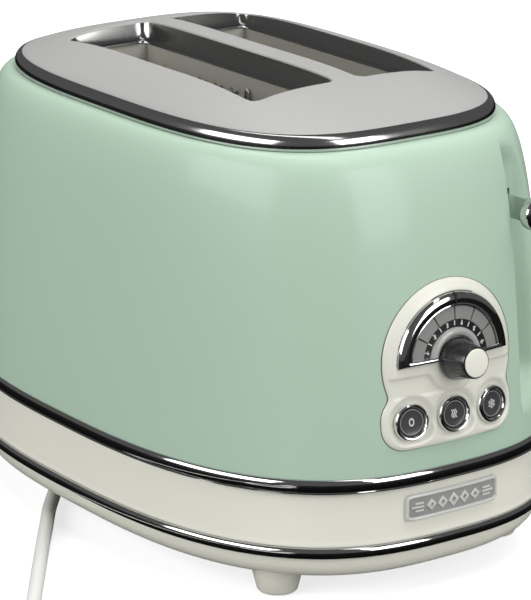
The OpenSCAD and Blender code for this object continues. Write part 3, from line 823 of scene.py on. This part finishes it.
def panel_relief(u, v):
    """Height of the moulded panel above its plain curve.

    The low field holds the buttons, and the raised one goes round the gauge.
    """
    inside = -panel_distance(u, v)
    edge = 1.6
    short = np.clip(edge - inside, 0, edge)
    h = LOW_FIELD - (edge - np.sqrt(edge**2 - short**2))
    raised = 1 - step(-0.9, 0.7, soft_min(-v - 4.5, np.hypot(u, v) - 12.8, 2.5))
    h = h + (GAUGE_LIFT - 0.4 - LOW_FIELD) * raised * step(0.2, 4.5, inside)
    h = h + 0.35 * step(-11.5, -13.5, v) * step(0.5, 3.0, inside)
    gauge = np.maximum(np.hypot(u, v) - GAUGE_R - 0.1, -v - 0.05)
    h = np.where(gauge < 0, GAUGE_LIFT - 2.0, h)
    for k in (-1, 0, 1):
        away = np.hypot(u - k * BUTTON_PITCH, v - BUTTON_V)
        h = h + (BUTTON_SINK - 0.5 - LOW_FIELD) * step(11.2, 8.4, away) * step(0.8, 4.6, inside)
        h = np.where(away < 7.2, BUTTON_SINK - 2.5, h)
    return np.where(np.hypot(u, v) < 4.2, LOW_FIELD - 1.7, h)


def make_panel():
    turns = np.linspace(0, 2 * math.pi, 420, endpoint=False)
    centre = (0.0, -8.0)
    far = reach_of(panel_distance, turns, centre, 60.0)
    shares = np.concatenate([np.linspace(0.01, 0.93, 100), 0.93 + 0.07 * np.linspace(0.08, 1, 14) ** 0.8])
    rows = []
    for share in shares:
        u, v = centre[0] + share * far * np.cos(turns), centre[1] + share * far * np.sin(turns)
        rows.append(on_panel(u, v, panel_relief(u, v)))
    u, v = centre[0] + far * np.cos(turns), centre[1] + far * np.sin(turns)
    for depth in (-3.9, -5.4):
        rows.append(moved(np.column_stack([u, v, np.full(len(u), depth)]), panel_frame))
    panel = bare("moulded_panel", *capped(rows), "cream_panel", 50)
    return declare(panel, "housing", ["control_panel"])


def enamel_height(u, v):
    """How far above the panel frame's plane the enamel lies."""
    low, high = np.full(len(u), -14.0), np.full(len(u), 5.0)
    for _ in range(30):
        middle = (low + high) / 2
        x, y, z = moved(np.column_stack([u, v, middle]), panel_frame).T
        sections = [shell_section(level) for level in z]
        half, n = np.array([s[0] for s in sections]), np.array([s[1] for s in sections])
        inside = (np.abs(x) / half[:, 0]) ** n + (np.abs(y) / half[:, 1]) ** n < 1
        low, high = np.where(inside, middle, low), np.where(inside, high, middle)
    return low


def make_panel_gap_shade():
    """A dark strip set in the gap between the panel and the enamel: painted shade standing in for the shaded gap."""
    turns = np.linspace(0, 2 * math.pi, 360, endpoint=False)
    rows = []
    for out, rise in ((-0.3, -2.0), (0.2, -2.0), (0.2, 0.06), (-0.3, 0.1)):
        far = reach_of(lambda u, v: panel_distance(u, v) - out, turns, (0.0, -8.0), 60.0)
        u, v = far * np.cos(turns), -8.0 + far * np.sin(turns)
        rows.append(moved(np.column_stack([u, v, enamel_height(u, v) + rise]), panel_frame))
    # the strip's dark colour is painted shade for the gap, not a grey seam part
    solid("panel_seam", weave(rows, along=True), "seam_grey")


# How far in from the gauge's edge, and the height over the panel
BEZEL_PROFILE = [
    (0, -2.2), (0, 0.2), (0.25, 0.8), (0.8, 1.35), (1.6, 1.75), (2.6, 1.95), (3.6, 1.9), (4.3, 1.7),
    (4.6, 1.75), (4.9, 1.85), (5.15, 1.7), (5.3, 1.2), (5.35, -1.4)]


def make_bezel():
    """A half ring and its foot bar, swept with one section."""
    stop = 9.8
    arc = np.linspace(0, math.pi, 120)
    rows = []
    path = ([("bar", u) for u in np.linspace(stop, 20.5, 12)] + [("arc", a) for a in arc] +
            [("bar", -u) for u in np.linspace(20.5, stop, 12)])
    for kind, at in path:
        points = []
        for inset, h in BEZEL_PROFILE:
            low, r = 0.42 * inset - 0.1, GAUGE_R - inset
            start = math.asin(max(low, 0) / r)
            if kind == "arc":
                angle = mix(start, math.pi - start, at / math.pi)
                points.append((r * math.cos(angle), max(r * math.sin(angle), low), h))
            else:
                points.append((at, low, h))
        u, v, h = np.array(points).T
        rows.append(on_panel(u, v, h + GAUGE_LIFT))
    solid("gauge_bezel", capped(rows), "polished_chrome", ["dial_bezel"], sharp=40)


def sector(inner, outer, start, end, low, high, count=40, chamfer=0.2):
    """A raised piece of a ring on the panel."""
    angles = np.linspace(start, end, count)
    section = [(inner, low), (inner, high - chamfer), (inner + chamfer, high), (outer - chamfer, high),
               (outer, high - chamfer), (outer, low)]
    rows = []
    for a in angles:
        r, h = np.array(section).T
        rows.append(on_panel(r * math.cos(a), r * math.sin(a), h + GAUGE_LIFT))
    return capped(rows)


def label(text, size, depth):
    """A mesh of a short text, lying in XY about its middle."""
    curve = bpy.data.curves.new("label", "FONT")
    curve.body, curve.size, curve.extrude, curve.resolution_u = text, size, depth, 3
    curve.align_x, curve.align_y = "CENTER", "CENTER"
    holder = bpy.data.objects.new("label", curve)
    bpy.context.scene.collection.objects.link(holder)
    bpy.context.view_layer.update()
    mesh = bpy.data.meshes.new_from_object(holder.evaluated_get(bpy.context.evaluated_depsgraph_get()))
    points = np.array([v.co for v in mesh.vertices], float)
    faces = [tuple(p.vertices) for p in mesh.polygons]
    bpy.data.objects.remove(holder)
    bpy.data.meshes.remove(mesh)
    return points, faces


def make_gauge():
    rad = math.radians
    floor = sector(9.4, 21.6, rad(0.6), rad(179.4), -1.5, 0.1, 90)
    solid("gauge_floor", floor, "dial_black", ["dial_face"])
    cells = [sector(15.6, 20.9, rad(4 + 29 * k), rad(31.2 + 29 * k), 0.0, 0.75, 16) for k in range(6)]
    solid("gauge_segments", joined(*cells), "dial_silver")
    marks = [sector(13.2, 15.2, rad(a - 0.9), rad(a + 0.9), 0.05, 0.25, 3, 0.05) for a in np.arange(3, 178, 14.5)]
    for k in range(6):
        a = rad(162.5 - 29 * k)
        points, faces = label(str(k + 1), 2.6, 0.08)
        flat = points[:, :2] + (13.9 * math.cos(a), 13.9 * math.sin(a))
        marks.append((on_panel(flat[:, 0], flat[:, 1], points[:, 2] + 0.18 + GAUGE_LIFT), faces))
    solid("gauge_seam", sector(21.4, 26.55, rad(89.3), rad(90.7), 0.3, 2.15, 3), "dial_black")
    solid("gauge_marks", joined(*marks), "mark_white")
    arch = [(9.2, -1.4), (9.2, 0.6), (9.5, 1.2), (10.3, 1.6), (11.2, 1.5), (12.0, 1.0), (12.4, 0.4), (12.5, -1.4)]
    rows = []
    for a in np.linspace(rad(1), rad(179), 80):
        r, h = np.array(arch).T
        rows.append(on_panel(r * math.cos(a), r * math.sin(a), h + GAUGE_LIFT))
    solid("gauge_arch", capped(rows), "dial_ring", ["dial_inner_ring"])


def make_knob():
    body = [(0.01, 3.9), (7.6, 3.9), (8.3, 4.15), (8.55, 4.7), (8.5, 5.4), (8.2, 6.0), (7.9, 7.5), (7.0, 12.0),
            (6.45, 15.2), (6.3, 16.2), (6.1, 16.6), (5.85, 16.75), (5.75, 16.6), (5.7, 16.2), (0.01, 16.2)]
    solid("turned_knob", placed(turned(body, 128), panel_frame), "black_plastic", ["browning_knob"], "knob")
    cap = [(0.01, 16.1), (5.55, 16.1), (5.62, 16.9), (5.4, 17.15), (4.6, 17.28), (2.5, 17.4), (0.01, 17.42)]
    solid("knob_button", placed(turned(cap), panel_frame), "cream_plastic", ["knob_cap"], "knob")


def make_buttons():
    bezel = [(6.0, -2.8), (6.9, -2.8), (6.95, -0.6), (8.1, -0.5), (8.25, 0.2), (8.15, 0.9), (7.8, 1.5), (7.2, 1.85),
             (6.7, 1.75), (6.25, 1.1), (6.0, 0.3)]
    face = [(0.01, -3.0), (5.8, -3.0), (5.8, 0.3), (5.65, 0.62), (5.35, 0.7), (5.1, 0.55), (4.9, 0.5), (3.0, 0.42),
            (0.01, 0.4)]
    edge = [(5.2, 0.5), (5.62, 0.55), (5.62, 0.72), (5.2, 0.72)]
    stem = [(0.01, -7.9), (1.9, -7.9), (1.9, -2.9), (0.01, -2.9)]
    rings = []
    for name, k, icon in (("cancel", -1, icon_zero), ("reheat", 0, icon_slice), ("defrost", 1, icon_frost)):
        place = upright_on_panel(k * BUTTON_PITCH - 0.3, BUTTON_V) @ Matrix.Translation((0, 0, BUTTON_SINK))
        place = place @ Matrix.Diagonal((0.93, 0.93, 1, 1))
        rings.append(placed(turned(bezel, ring=True), place))
        button = placed(joined(turned(face), turned(stem, 32)), place)
        solid(name + "_button", button, "grey_plastic", ["button_" + name], name)
        solid(name + "_edge", placed(turned(edge, ring=True), place), "dial_silver", (), name)
        sign = placed(icon(), place @ Matrix.Diagonal((0.8, 0.8, 1, 1)))
        solid(name + "_sign", sign, "mark_white", (), name)
    solid("button_rings", joined(*rings), "bright_chrome", ["button_bezels"])


def stroke(path, wide, low=0.40, high=0.58):
    """A raised line through flat points."""
    path = np.asarray(path, float)
    way = np.gradient(path, axis=0)
    way /= np.linalg.norm(way, axis=1)[:, None]
    side = np.column_stack([-way[:, 1], way[:, 0]]) * wide / 2
    rows = [[(*(p - s), low), (*(p + s), low), (*(p + s), high), (*(p - s), high)] for p, s in zip(path, side)]
    return capped(rows)


def icon_zero():
    points, faces = turned([(1.0, 0.40), (1.0, 0.58), (1.6, 0.58), (1.6, 0.40)], 48, ring=True)
    return points * (1, 1.4, 1), faces


def icon_slice():
    """Three wavy lines of heat."""
    t = np.linspace(-2.3, 2.3, 24)
    return joined(*[stroke(np.column_stack([x + 0.35 * np.sin(t * 2.1), t]), 0.62) for x in (-1.2, 0, 1.2)])


def icon_frost():
    """A six-armed star with barbs."""
    lines = []
    for k in range(6):
        turn = np.array([[math.cos(k * math.pi / 3), -math.sin(k * math.pi / 3)],
                         [math.sin(k * math.pi / 3), math.cos(k * math.pi / 3)]])
        lines.append(stroke(np.array([(0, 0.2), (0, 1.4), (0, 2.7)]) @ turn.T, 0.42))
        for side in (-1, 1):
            lines.append(stroke(np.array([(0, 1.3), (side * 0.45, 1.75), (side * 0.8, 2.1)]) @ turn.T, 0.36))
    return joined(*lines)


# ---------------------------------------------------------------- lever


def make_lever():
    low, high = node_box("lever_knob")
    centre = Vector((high[0], (low[1] + high[1]) / 2, (low[2] + high[2]) / 2))
    place = Matrix.Translation(centre) @ Matrix.Rotation(math.radians(90), 4, "Y")
    knob = [(0.01, -0.35), (3.4, -0.3), (4.6, -0.05), (5.3, -0.1), (5.9, -0.5), (6.4, -1.2), (6.6, -2.2), (6.6, -4.6),
            (6.3, -5.6), (5.4, -6.6), (4.4, -7.3), (0.01, -7.4)]
    solid("lever_ball", placed(turned(knob), place), "polished_chrome", ["lever_knob"], "carriage")
    arm = bare("lever_bar", *block(lever_low + (0, 1.5, 0), lever_high), "bright_chrome")
    applied(arm, [("BEVEL", {"width": 0.7 * MM, "segments": 3})])
    declare(arm, "carriage", ["lever_arm"])


# ---------------------------------------------------------------- repeats, by geometry nodes


def row_tree():
    """Copies of a seed in a row, each a fixed step on from the last."""
    tree = bpy.data.node_groups.new("row_of_copies", "GeometryNodeTree")
    sockets = tree.interface
    for name, kind in (("Seed", "Object"), ("Count", "Int"), ("Start", "Vector"), ("Step", "Vector"),
                       ("Finish", "Material")):
        sockets.new_socket(name, in_out="INPUT", socket_type="NodeSocket" + kind)
    sockets.new_socket("Row", in_out="OUTPUT", socket_type="NodeSocketGeometry")
    nodes, links = tree.nodes, tree.links
    given = nodes.new("NodeGroupInput").outputs
    line, seed, copies, real, finish = [nodes.new("GeometryNode" + kind) for kind in (
        "MeshLine", "ObjectInfo", "InstanceOnPoints", "RealizeInstances", "SetMaterial")]
    line.mode = "OFFSET"
    result = nodes.new("NodeGroupOutput")
    for source, target in (
            (given["Count"], line.inputs["Count"]), (given["Start"], line.inputs["Start Location"]),
            (given["Step"], line.inputs["Offset"]), (given["Seed"], seed.inputs["Object"]),
            (line.outputs["Mesh"], copies.inputs["Points"]), (seed.outputs["Geometry"], copies.inputs["Instance"]),
            (copies.outputs["Instances"], real.inputs["Geometry"]),
            (real.outputs["Geometry"], finish.inputs["Geometry"]),
            (given["Finish"], finish.inputs["Material"]), (finish.outputs["Geometry"], result.inputs["Row"])):
        links.new(source, target)
    return tree


ROW = row_tree()


def row(name, shape, count, start, way, look):
    """A row of copies of a shape as one plain mesh."""
    seed = bare("seed", *shape)
    holder = bpy.data.objects.new(name, bpy.data.meshes.new(name))
    bpy.context.scene.collection.objects.link(holder)
    modifier = holder.modifiers.new("row", "NODES")
    modifier.node_group = ROW
    given = {"Seed": seed, "Count": count, "Start": tuple(np.multiply(start, MM)),
             "Step": tuple(np.multiply(way, MM)), "Finish": LOOKS[look]}
    names = {item.name: item.identifier for item in ROW.interface.items_tree if item.in_out == "INPUT"}
    for key, value in given.items():
        modifier[names[key]] = value
    applied(holder, [])
    bpy.data.objects.remove(seed)
    return holder


def merged(name, things, look):
    """One object from several plain meshes."""
    shapes = []
    for thing in things:
        points = np.array([v.co for v in thing.data.vertices], float) / MM + MIDDLE
        shapes.append((points, [tuple(p.vertices) for p in thing.data.polygons]))
        bpy.data.objects.remove(thing)
    return bare(name, *joined(*shapes), look)


def wire(path, r=0.8, sides=8):
    """A round wire along points."""
    path = np.asarray(path, float)
    ways = np.gradient(path, axis=0)
    turns = np.linspace(0, 2 * math.pi, sides, endpoint=False)
    rows, across = [], None
    for point, way in zip(path, ways):
        way = way / np.linalg.norm(way)
        if across is None:
            across = np.cross(way, (0, 0, 1) if abs(way[2]) < 0.9 else (1, 0, 0))
        across = across - way * across.dot(way)
        across /= np.linalg.norm(across)
        up = np.cross(way, across)
        rows.append(point + r * (np.cos(turns)[:, None] * across + np.sin(turns)[:, None] * up))
    return capped(rows)


def make_guards():
    """Each guard is a row of hairpin wires between two rails."""
    low, high = guard_low[2] + 1.1, guard_high[2] - 1.1
    bend = np.linspace(math.pi, 0, 9)
    hairpin = [(-2.2, 0, low), (-2.2, 0, high - 8), (2.2, 0, high - 8), (2.2, 0, low)]
    hairpin[2:2] = [(2.2 * math.cos(a), 0, high - 1.6 + 1.8 * math.sin(a)) for a in bend]
    for node in ("guard_near_outer", "guard_near_inner", "guard_far_inner", "guard_far_outer"):
        box_low, box_high = node_box(node)
        y = (box_low[1] + box_high[1]) / 2
        pins = row(node + "_pins", wire(hairpin, 0.75), 7, (-60, y, 0), (20, 0, 0), "steel_wire")
        rails = row(node + "_rails", wire([(-66, 0, 0), (-30, 0, 0), (30, 0, 0), (66, 0, 0)], 1.0), 2,
                    (0, y, low), (0, 0, high - 9 - low), "steel_wire")
        guard = merged(node + "_wires", [pins, rails], "steel_wire")
        declare(guard, node, [node])


HOOK_Z = 178.5
NEAR_WALL, FAR_WALL = -9.5, 41.7


def make_hooks():
    """Wire ends bent over the upright walls, and one hairpin."""
    hooks = []
    for x in (-46.8, -20.2, -8.2, 3.5):
        hooks.append(wire([(x - 2.6, NEAR_WALL, HOOK_Z + 1.6), (x, NEAR_WALL - 0.2, HOOK_Z - 0.4),
                           (x + 2.6, NEAR_WALL, HOOK_Z + 1.2)], 0.45))
    for x in (-36.2, 13.8):
        hooks.append(wire([(x - 2.4, FAR_WALL, HOOK_Z + 2.6), (x, FAR_WALL - 0.2, HOOK_Z + 0.4),
                           (x + 2.4, FAR_WALL, HOOK_Z + 2.2)], 0.45))
    hairpin = [(12.9, -3), (12.9, 2.4), (14.1, 3.6), (15.3, 2.4), (15.3, -3)]
    hooks.append(wire([(x, NEAR_WALL - 0.7, HOOK_Z + rise) for x, rise in hairpin], 0.6))
    solid("wire_ends", joined(*hooks), "steel_wire")


def make_racks():
    for node, side in (("bread_rack_near", -1), ("bread_rack_far", 1)):
        low, high = node_box(node)
        y = side * SLOT_Y
        bar = block((-1.25, -7.5, 0), (1.25, 7.5, 1.5))
        teeth = row(node + "_teeth", bar, 11, (-60, y, low[2]), (12, 0, 0), "steel_wire")
        spine = bare(node + "_spine", *block((low[0], y - 2, low[2]), (high[0], y + 2, high[2])), "steel_wire")
        rack = merged(node + "_comb", [teeth, spine], "steel_wire")
        declare(rack, "carriage", [node])


def make_ribbons():
    rows = []
    for side in (-1, 1):
        for y in (side * 50.25, side * 3.65):
            strip = block((-66, -0.25, 0), (66, 0.25, 1.6))
            rows.append(row("ribbon", strip, 9, (0, y, 56), (0, 0, 12), "resistance_ribbon"))
            link = block((-0.8, -0.25, 0), (0.8, 0.25, 13.6))
            rows.append(row("link", link, 4, (65.2, y, 56), (0, 0, 24), "resistance_ribbon"))
            rows.append(row("link", link, 4, (-65.2, y, 68), (0, 0, 24), "resistance_ribbon"))
    ribbons = merged("heating_ribbons", rows, "resistance_ribbon")
    declare(ribbons, "housing", ["heater_ribbons"])


# ---------------------------------------------------------------- cord

# The cord's route in metres, as the CAD model has it
CORD_ROUTE = [
    (-0.112, -0.014, 0.017),
    (-0.086, -0.036, 0.009), (-0.076, -0.0445, 0.0065), (-0.066, -0.053, 0.0045), (-0.056, -0.0615, 0.0034),
    (-0.046, -0.0695, 0.003), (-0.036, -0.0775, 0.003), (-0.025, -0.086, 0.003), (-0.010, -0.0965, 0.003),
    (0.004, -0.1065, 0.003), (0.022, -0.119, 0.003), (0.040, -0.1315, 0.003), (0.058, -0.144, 0.003),
    (0.076, -0.1565, 0.003), (0.094, -0.169, 0.003), (0.111, -0.181, 0.0033), (0.124, -0.1895, 0.0036)]
TAIL_ROUTE = [(0.144, -0.1965, 0.0088), (0.154, -0.1985, 0.0096), (0.164, -0.2005, 0.0074), (0.174, -0.202, 0.0054)]
COIL_CENTRE, COIL_R, CORD_D = (0.148, -0.163), 0.033, 0.006


def coil_points():
    """Two turns side by side on the floor and a third on them."""
    low, high, per_turn, turns, start = 0.0036, 0.0088, 28, 3.0, math.radians(-122)
    points = []
    for i in range(2, int(per_turn * turns) + 1):
        t = i / per_turn
        r = COIL_R + 0.003 - 0.006 * step(0.82, 1.1, t) + 0.003 * step(1.62, 1.95, t)
        z = low + (high - low) * step(1.55, 1.82, t) + 0.001 * step(1.7, 1.85, t) * (1 - step(2.15, 2.35, t))
        a = start + 2 * math.pi * t
        points.append((COIL_CENTRE[0] + r * math.cos(a), COIL_CENTRE[1] + r * math.sin(a), z))
    return points


def smoothed(points, per_span=4):
    points = np.array(points)
    padded = np.concatenate([[2 * points[0] - points[1]], points, [2 * points[-1] - points[-2]]])
    line = []
    for a, b, c, d in zip(padded, padded[1:], padded[2:], padded[3:]):
        for t in np.arange(per_span) / per_span:
            line.append(0.5 * (
                2 * b + (c - a) * t + (2 * a - 5 * b + 4 * c - d) * t**2 + (3 * b - a - 3 * c + d) * t**3))
    return np.array(line + [points[-1]])


def make_cord():
    line = smoothed(CORD_ROUTE + coil_points() + TAIL_ROUTE)
    points, faces = wire(line / MM, CORD_D / MM / 2, 20)
    cord = bare("mains_lead", points, faces, "white_cord")
    declare(cord, "housing", ["mains_cord", "cord_coil"])
    pieces = [make_relief(), make_tie(), *make_plug()]
    line = line - MIDDLE * MM


def make_relief():
    """A tapered sleeve with flexing slots cut round it."""
    start, end = Vector(CORD_ROUTE[0]) / MM, Vector(CORD_ROUTE[1]) / MM
    long = (end - start).length
    place = Matrix.Translation(start) @ (end - start).to_track_quat("Z", "Y").to_matrix().to_4x4()
    profile = [(3.05, 0.0), (5.2, 0.0), (5.2, 3.0)]
    for k in range(7):
        at, r = 4.5 + 4 * k, 5.1 - 0.19 * k
        profile += [(r, at), (r - 0.9, at + 0.3), (r - 0.9, at + 1.3), (r - 0.05, at + 1.6)]
    profile += [(3.8, long - 0.6), (3.4, long), (3.05, long)]
    return solid("lead_sleeve", placed(turned(profile, 48, ring=True), place), "white_cord", ["strain_relief"])


def make_tie():
    """A flat band round the coil's turns."""
    place = (Matrix.Translation((COIL_CENTRE[0] / MM, COIL_CENTRE[1] / MM, 0))
             @ Matrix.Rotation(math.radians(60), 4, "Z"))
    outer = np.array([(-6.6, 0.3), (6.6, 0.3), (6.6, 6.0), (3.4, 11.9), (-3.4, 11.9), (-6.6, 6.0)])
    inner = outer * (0.955, 0.95) + (0, 0.3)
    rows = [np.column_stack([COIL_R / MM + section[:, 0], np.full(6, y), section[:, 1]])
            for section, y in ((outer, -3.0), (outer, 3.0), (inner, 3.0), (inner, -3.0))]
    band_shape = placed(weave(rows, along=True), place)
    return solid("lead_tie", band_shape, "rubber_foot", ["cord_tie"])


def make_plug():
    place = (Matrix.Translation(Vector(TAIL_ROUTE[-1]) / MM) @ Matrix.Rotation(math.radians(-9), 4, "Z")
             @ Matrix.Rotation(math.radians(90 - 20.6), 4, "Y"))
    profile = [(0.01, 0.1), (5.6, 0.1), (6.3, 0.6)]
    for k in range(4):
        at, r = 2.5 + 3.2 * k, 6.35 + 0.4 * k
        profile += [(r, at), (r - 0.6, at + 0.4), (r - 0.6, at + 1.4), (r + 0.15, at + 1.8)]
    profile += [(8.1, 17), (9.2, 22), (10.9, 26), (13.8, 28.8), (17.0, 30.8), (18.0, 31.8), (18.4, 33.4),
                (18.4, 44.4), (18.0, 45.4), (17.2, 45.9), (0.01, 45.9)]
    grip = solid("plug_grip", placed(turned(profile), place), "white_cord", ["plug_body"])
    pin = turned([(0.01, 45.5), (2.4, 45.5), (2.4, 63.2), (2.2, 64.2), (1.5, 64.8), (0.01, 64.95)], 40)
    pins = [placed(pin, place @ Matrix.Translation((0, side * 9.5, 0))) for side in (-1, 1)]
    return grip, solid("plug_prongs", joined(*pins), "plug_brass", ["plug_pins"])


# ---------------------------------------------------------------- stage and lights


def add_light(name, place, aim, size, power):
    light = bpy.data.lights.new(name, "AREA")
    light.shape, light.size, light.size_y, light.energy = "RECTANGLE", size[0], size[1], power
    holder = bpy.data.objects.new(name, light)
    holder.location = place
    holder.rotation_euler = (Vector(aim) - Vector(place)).to_track_quat("-Z", "Y").to_euler()
    bpy.context.scene.collection.objects.link(holder)
    return holder


def ground_sheet(name, half, level, material):
    """A level square for the stage."""
    mesh = bpy.data.meshes.new(name)
    mesh.from_pydata([(-half, -half, 0), (half, -half, 0), (half, half, 0), (-half, half, 0)], [], [(0, 1, 2, 3)])
    mesh.materials.append(material)
    sheet = bpy.data.objects.new(name, mesh)
    sheet.location = (0, 0, level)
    bpy.context.scene.collection.objects.link(sheet)
    sheet.visible_diffuse = sheet.visible_glossy = False
    return sheet


def add_ground(name, level, shade):
    """A ground that the camera does not see, for reflections or for bounced light."""
    look = Look(name)
    tone = look.blend(look.noise(3), shade, tuple(1.05 * s for s in shade))
    card = ground_sheet(name, 4.0, level, look.finish(Base_Color=tone, Roughness=0.9))
    card.rotation_euler = (0, math.pi, 0)
    card.visible_camera = card.visible_shadow = False
    return card


def make_stage():
    look = Look("floor_paper")
    tone = look.blend(look.noise(4), (0.90, 0.90, 0.90), (0.93, 0.93, 0.93))
    floor = ground_sheet("floor", 6.0, 0.0, look.finish(
        Base_Color=tone, Roughness=0.8, Emission_Color=(1, 1, 1, 1), Emission_Strength=0.72))
    add_ground("dark_ground", -0.001, (0.035, 0.035, 0.035)).visible_glossy = True
    add_ground("grey_ground", 0.0004, (0.42, 0.42, 0.41)).visible_diffuse = True
    world = bpy.data.worlds.new("studio")
    world.use_nodes = True
    world.node_tree.nodes["Background"].inputs["Color"].default_value = (1, 1, 1, 1)
    world.node_tree.nodes["Background"].inputs["Strength"].default_value = 0.10
    bpy.context.scene.world = world
    bpy.context.scene.view_settings.view_transform = "Standard"
    add_light("overhead", (0.0, 0.35, 1.7), (0, 0, 0.1), (2.2, 2.0), 36).visible_glossy = False
    add_light("top_strip", (0.0, 0.2, 1.75), (0, 0, 0.1), (2.4, 0.25), 5)
    add_light("right_box", (2.0, 0.5, 0.95), (0, 0, 0.12), (1.2, 1.5), 23)
    add_light("left_box", (-0.1, -2.1, 1.0), (0, 0, 0.12), (2.2, 1.3), 33)


make_shell()
make_plate()
make_liner("near_funnel", -1, "slot_liner_near")
make_liner("far_funnel", 1, "slot_liner_far")
for make in (make_sleeves, make_rim, make_trims, make_skirt, make_pan, make_feet, make_tray_front, make_badge,
             make_panel, make_panel_gap_shade, make_bezel, make_gauge, make_knob, make_buttons, make_lever, make_guards,
             make_hooks, make_racks, make_ribbons, make_cord):
    make()

# CAD nodes whose shape is right keep it and take their slot's finish
slot_of = {s["node"]: s["material_slot"] for s in frame["record"]["subparts"]}
for name, thing in frame["nodes"].items():
    thing.data.materials.clear()
    thing.data.materials.append(LOOKS[slot_of[name]])

make_stage()
